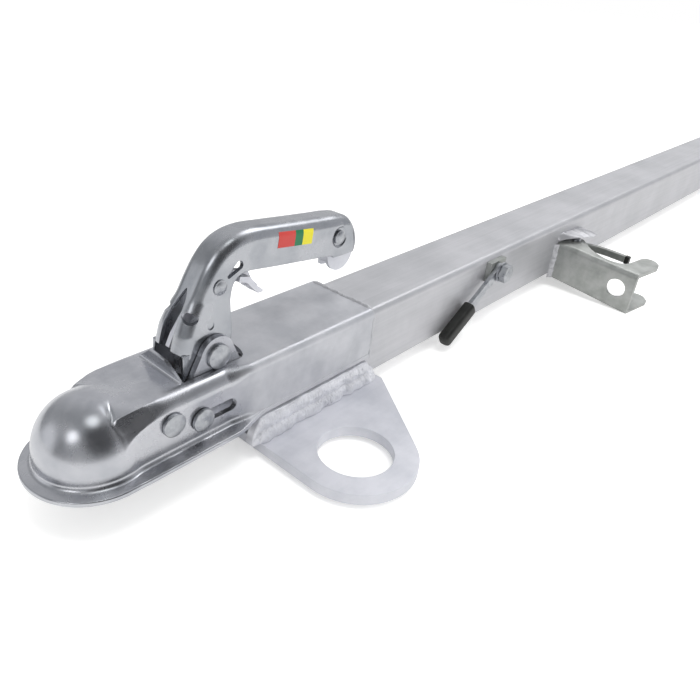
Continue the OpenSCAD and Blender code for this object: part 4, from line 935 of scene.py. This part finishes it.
def makeBracket():
    # a channel bent from one sheet: the closed profile of web, two bends and two flanges, carried outward
    # along the reach while its height grows; the plan of the flanges and the hole are cut out
    look = bracketShape
    y = np.concatenate([np.linspace(look["root"], -41, 10), np.linspace(-43, -112, 46)])[:, None]
    top, low = (np.interp(y, *np.array(look[side]).T) for side in ("top", "low"))
    t = np.linspace(0, np.pi / 2, 9)[None, :]
    rows = []
    for inset in (0.0, look["sheet"]):
        x0, r = look["x"] + inset, look["bend"] - inset
        px = np.concatenate([look["tip"] + 0 * y, x0 + r - r * np.sin(t) + 0 * y, x0 + r - r * np.cos(t) + 0 * y,
                             look["tip"] + 0 * y], 1)
        pz = np.concatenate([top - inset, top - inset - r + r * np.cos(t), low + inset + r - r * np.sin(t),
                             low + inset], 1)
        rows.append((px, pz))
    px = np.concatenate([rows[0][0], rows[1][0][:, ::-1]], 1)
    pz = np.concatenate([rows[0][1], rows[1][1][:, ::-1]], 1)
    points = np.stack([px, y + 0 * px, pz], -1)
    bracket = surfacePiece("clamp_channel", points, "galvanised bracket, hot dipped", True)
    beyond = np.concatenate([[look["start"]], smoothRows(look["cradle"], 5), look["corner"], look["waste"]])
    cutOut(bracket, [prismGrid(beyond, "z", *look["wasteHeight"]),
                     prismGrid(circlePoints(*look["hole"]), "x", *look["holeReach"]),
                     prismGrid(circlePoints(*look["pinHole"]), "z", *look["wasteHeight"])])
    standFor(bracket, "clamp_bracket")


gripShape = {"pivot": (336.0, 11.0), "angle": 31.0, "from": 40.0, "to": 78.0, "centre": -31.2, "half": (5.7, 4.7),
             "power": 3.4, "mouth": 1.2, "body": (44, 73, 9), "nose": 4.0}


def makeGrip():
    # a dipped sleeve: superellipse sections along the lever, drawn in at both ends on a quarter curve
    look = gripShape
    way = np.radians(look["angle"])
    along, aside = np.array([-np.cos(way), -np.sin(way)]), np.array([np.sin(way), -np.cos(way)])
    t = np.concatenate([look["from"] + look["mouth"] * (1 - np.cos(np.linspace(0, np.pi / 2, 7))),
                        np.linspace(*look["body"]),
                        look["to"] - look["nose"] * (1 - np.sin(np.linspace(0.05, np.pi / 2, 10)))])[:, None]
    fore = np.clip((t - look["from"]) / look["mouth"], 0, 1)
    aft = np.clip((look["to"] - t) / look["nose"], 0, 1)
    size = np.sqrt(np.clip(1 - (1 - fore) ** 2, 0, 1)) * 0.25 + 0.75
    size = size * np.sqrt(np.clip(1 - (1 - aft) ** 2.4, 0.0004, 1))
    turn = np.linspace(0, 2 * np.pi, 48, endpoint=False)[None, :]
    bulge = (np.abs(np.cos(turn)) ** look["power"] + np.abs(np.sin(turn)) ** look["power"]) ** (-1 / look["power"])
    wide = look["half"][0] * size * bulge * np.cos(turn)
    thick = look["half"][1] * size * bulge * np.sin(turn)
    x = look["pivot"][0] + along[0] * t + aside[0] * wide
    z = look["pivot"][1] + along[1] * t + aside[1] * wide
    points = np.stack([x, look["centre"] + thick, z], -1)
    grip = surfacePiece("grip_sleeve", points, "dipped PVC grip", True, meshRules["soft"])
    standFor(grip, "lever_grip")


makeHead()
makeLip()
makeSpring()
print("stage: coupling head")
makeHandle()
makeLabel()
makeEndPlate()
print("stage: handle")
makeWelds()
makeBracket()
makeGrip()
print("stage: welds and grip")
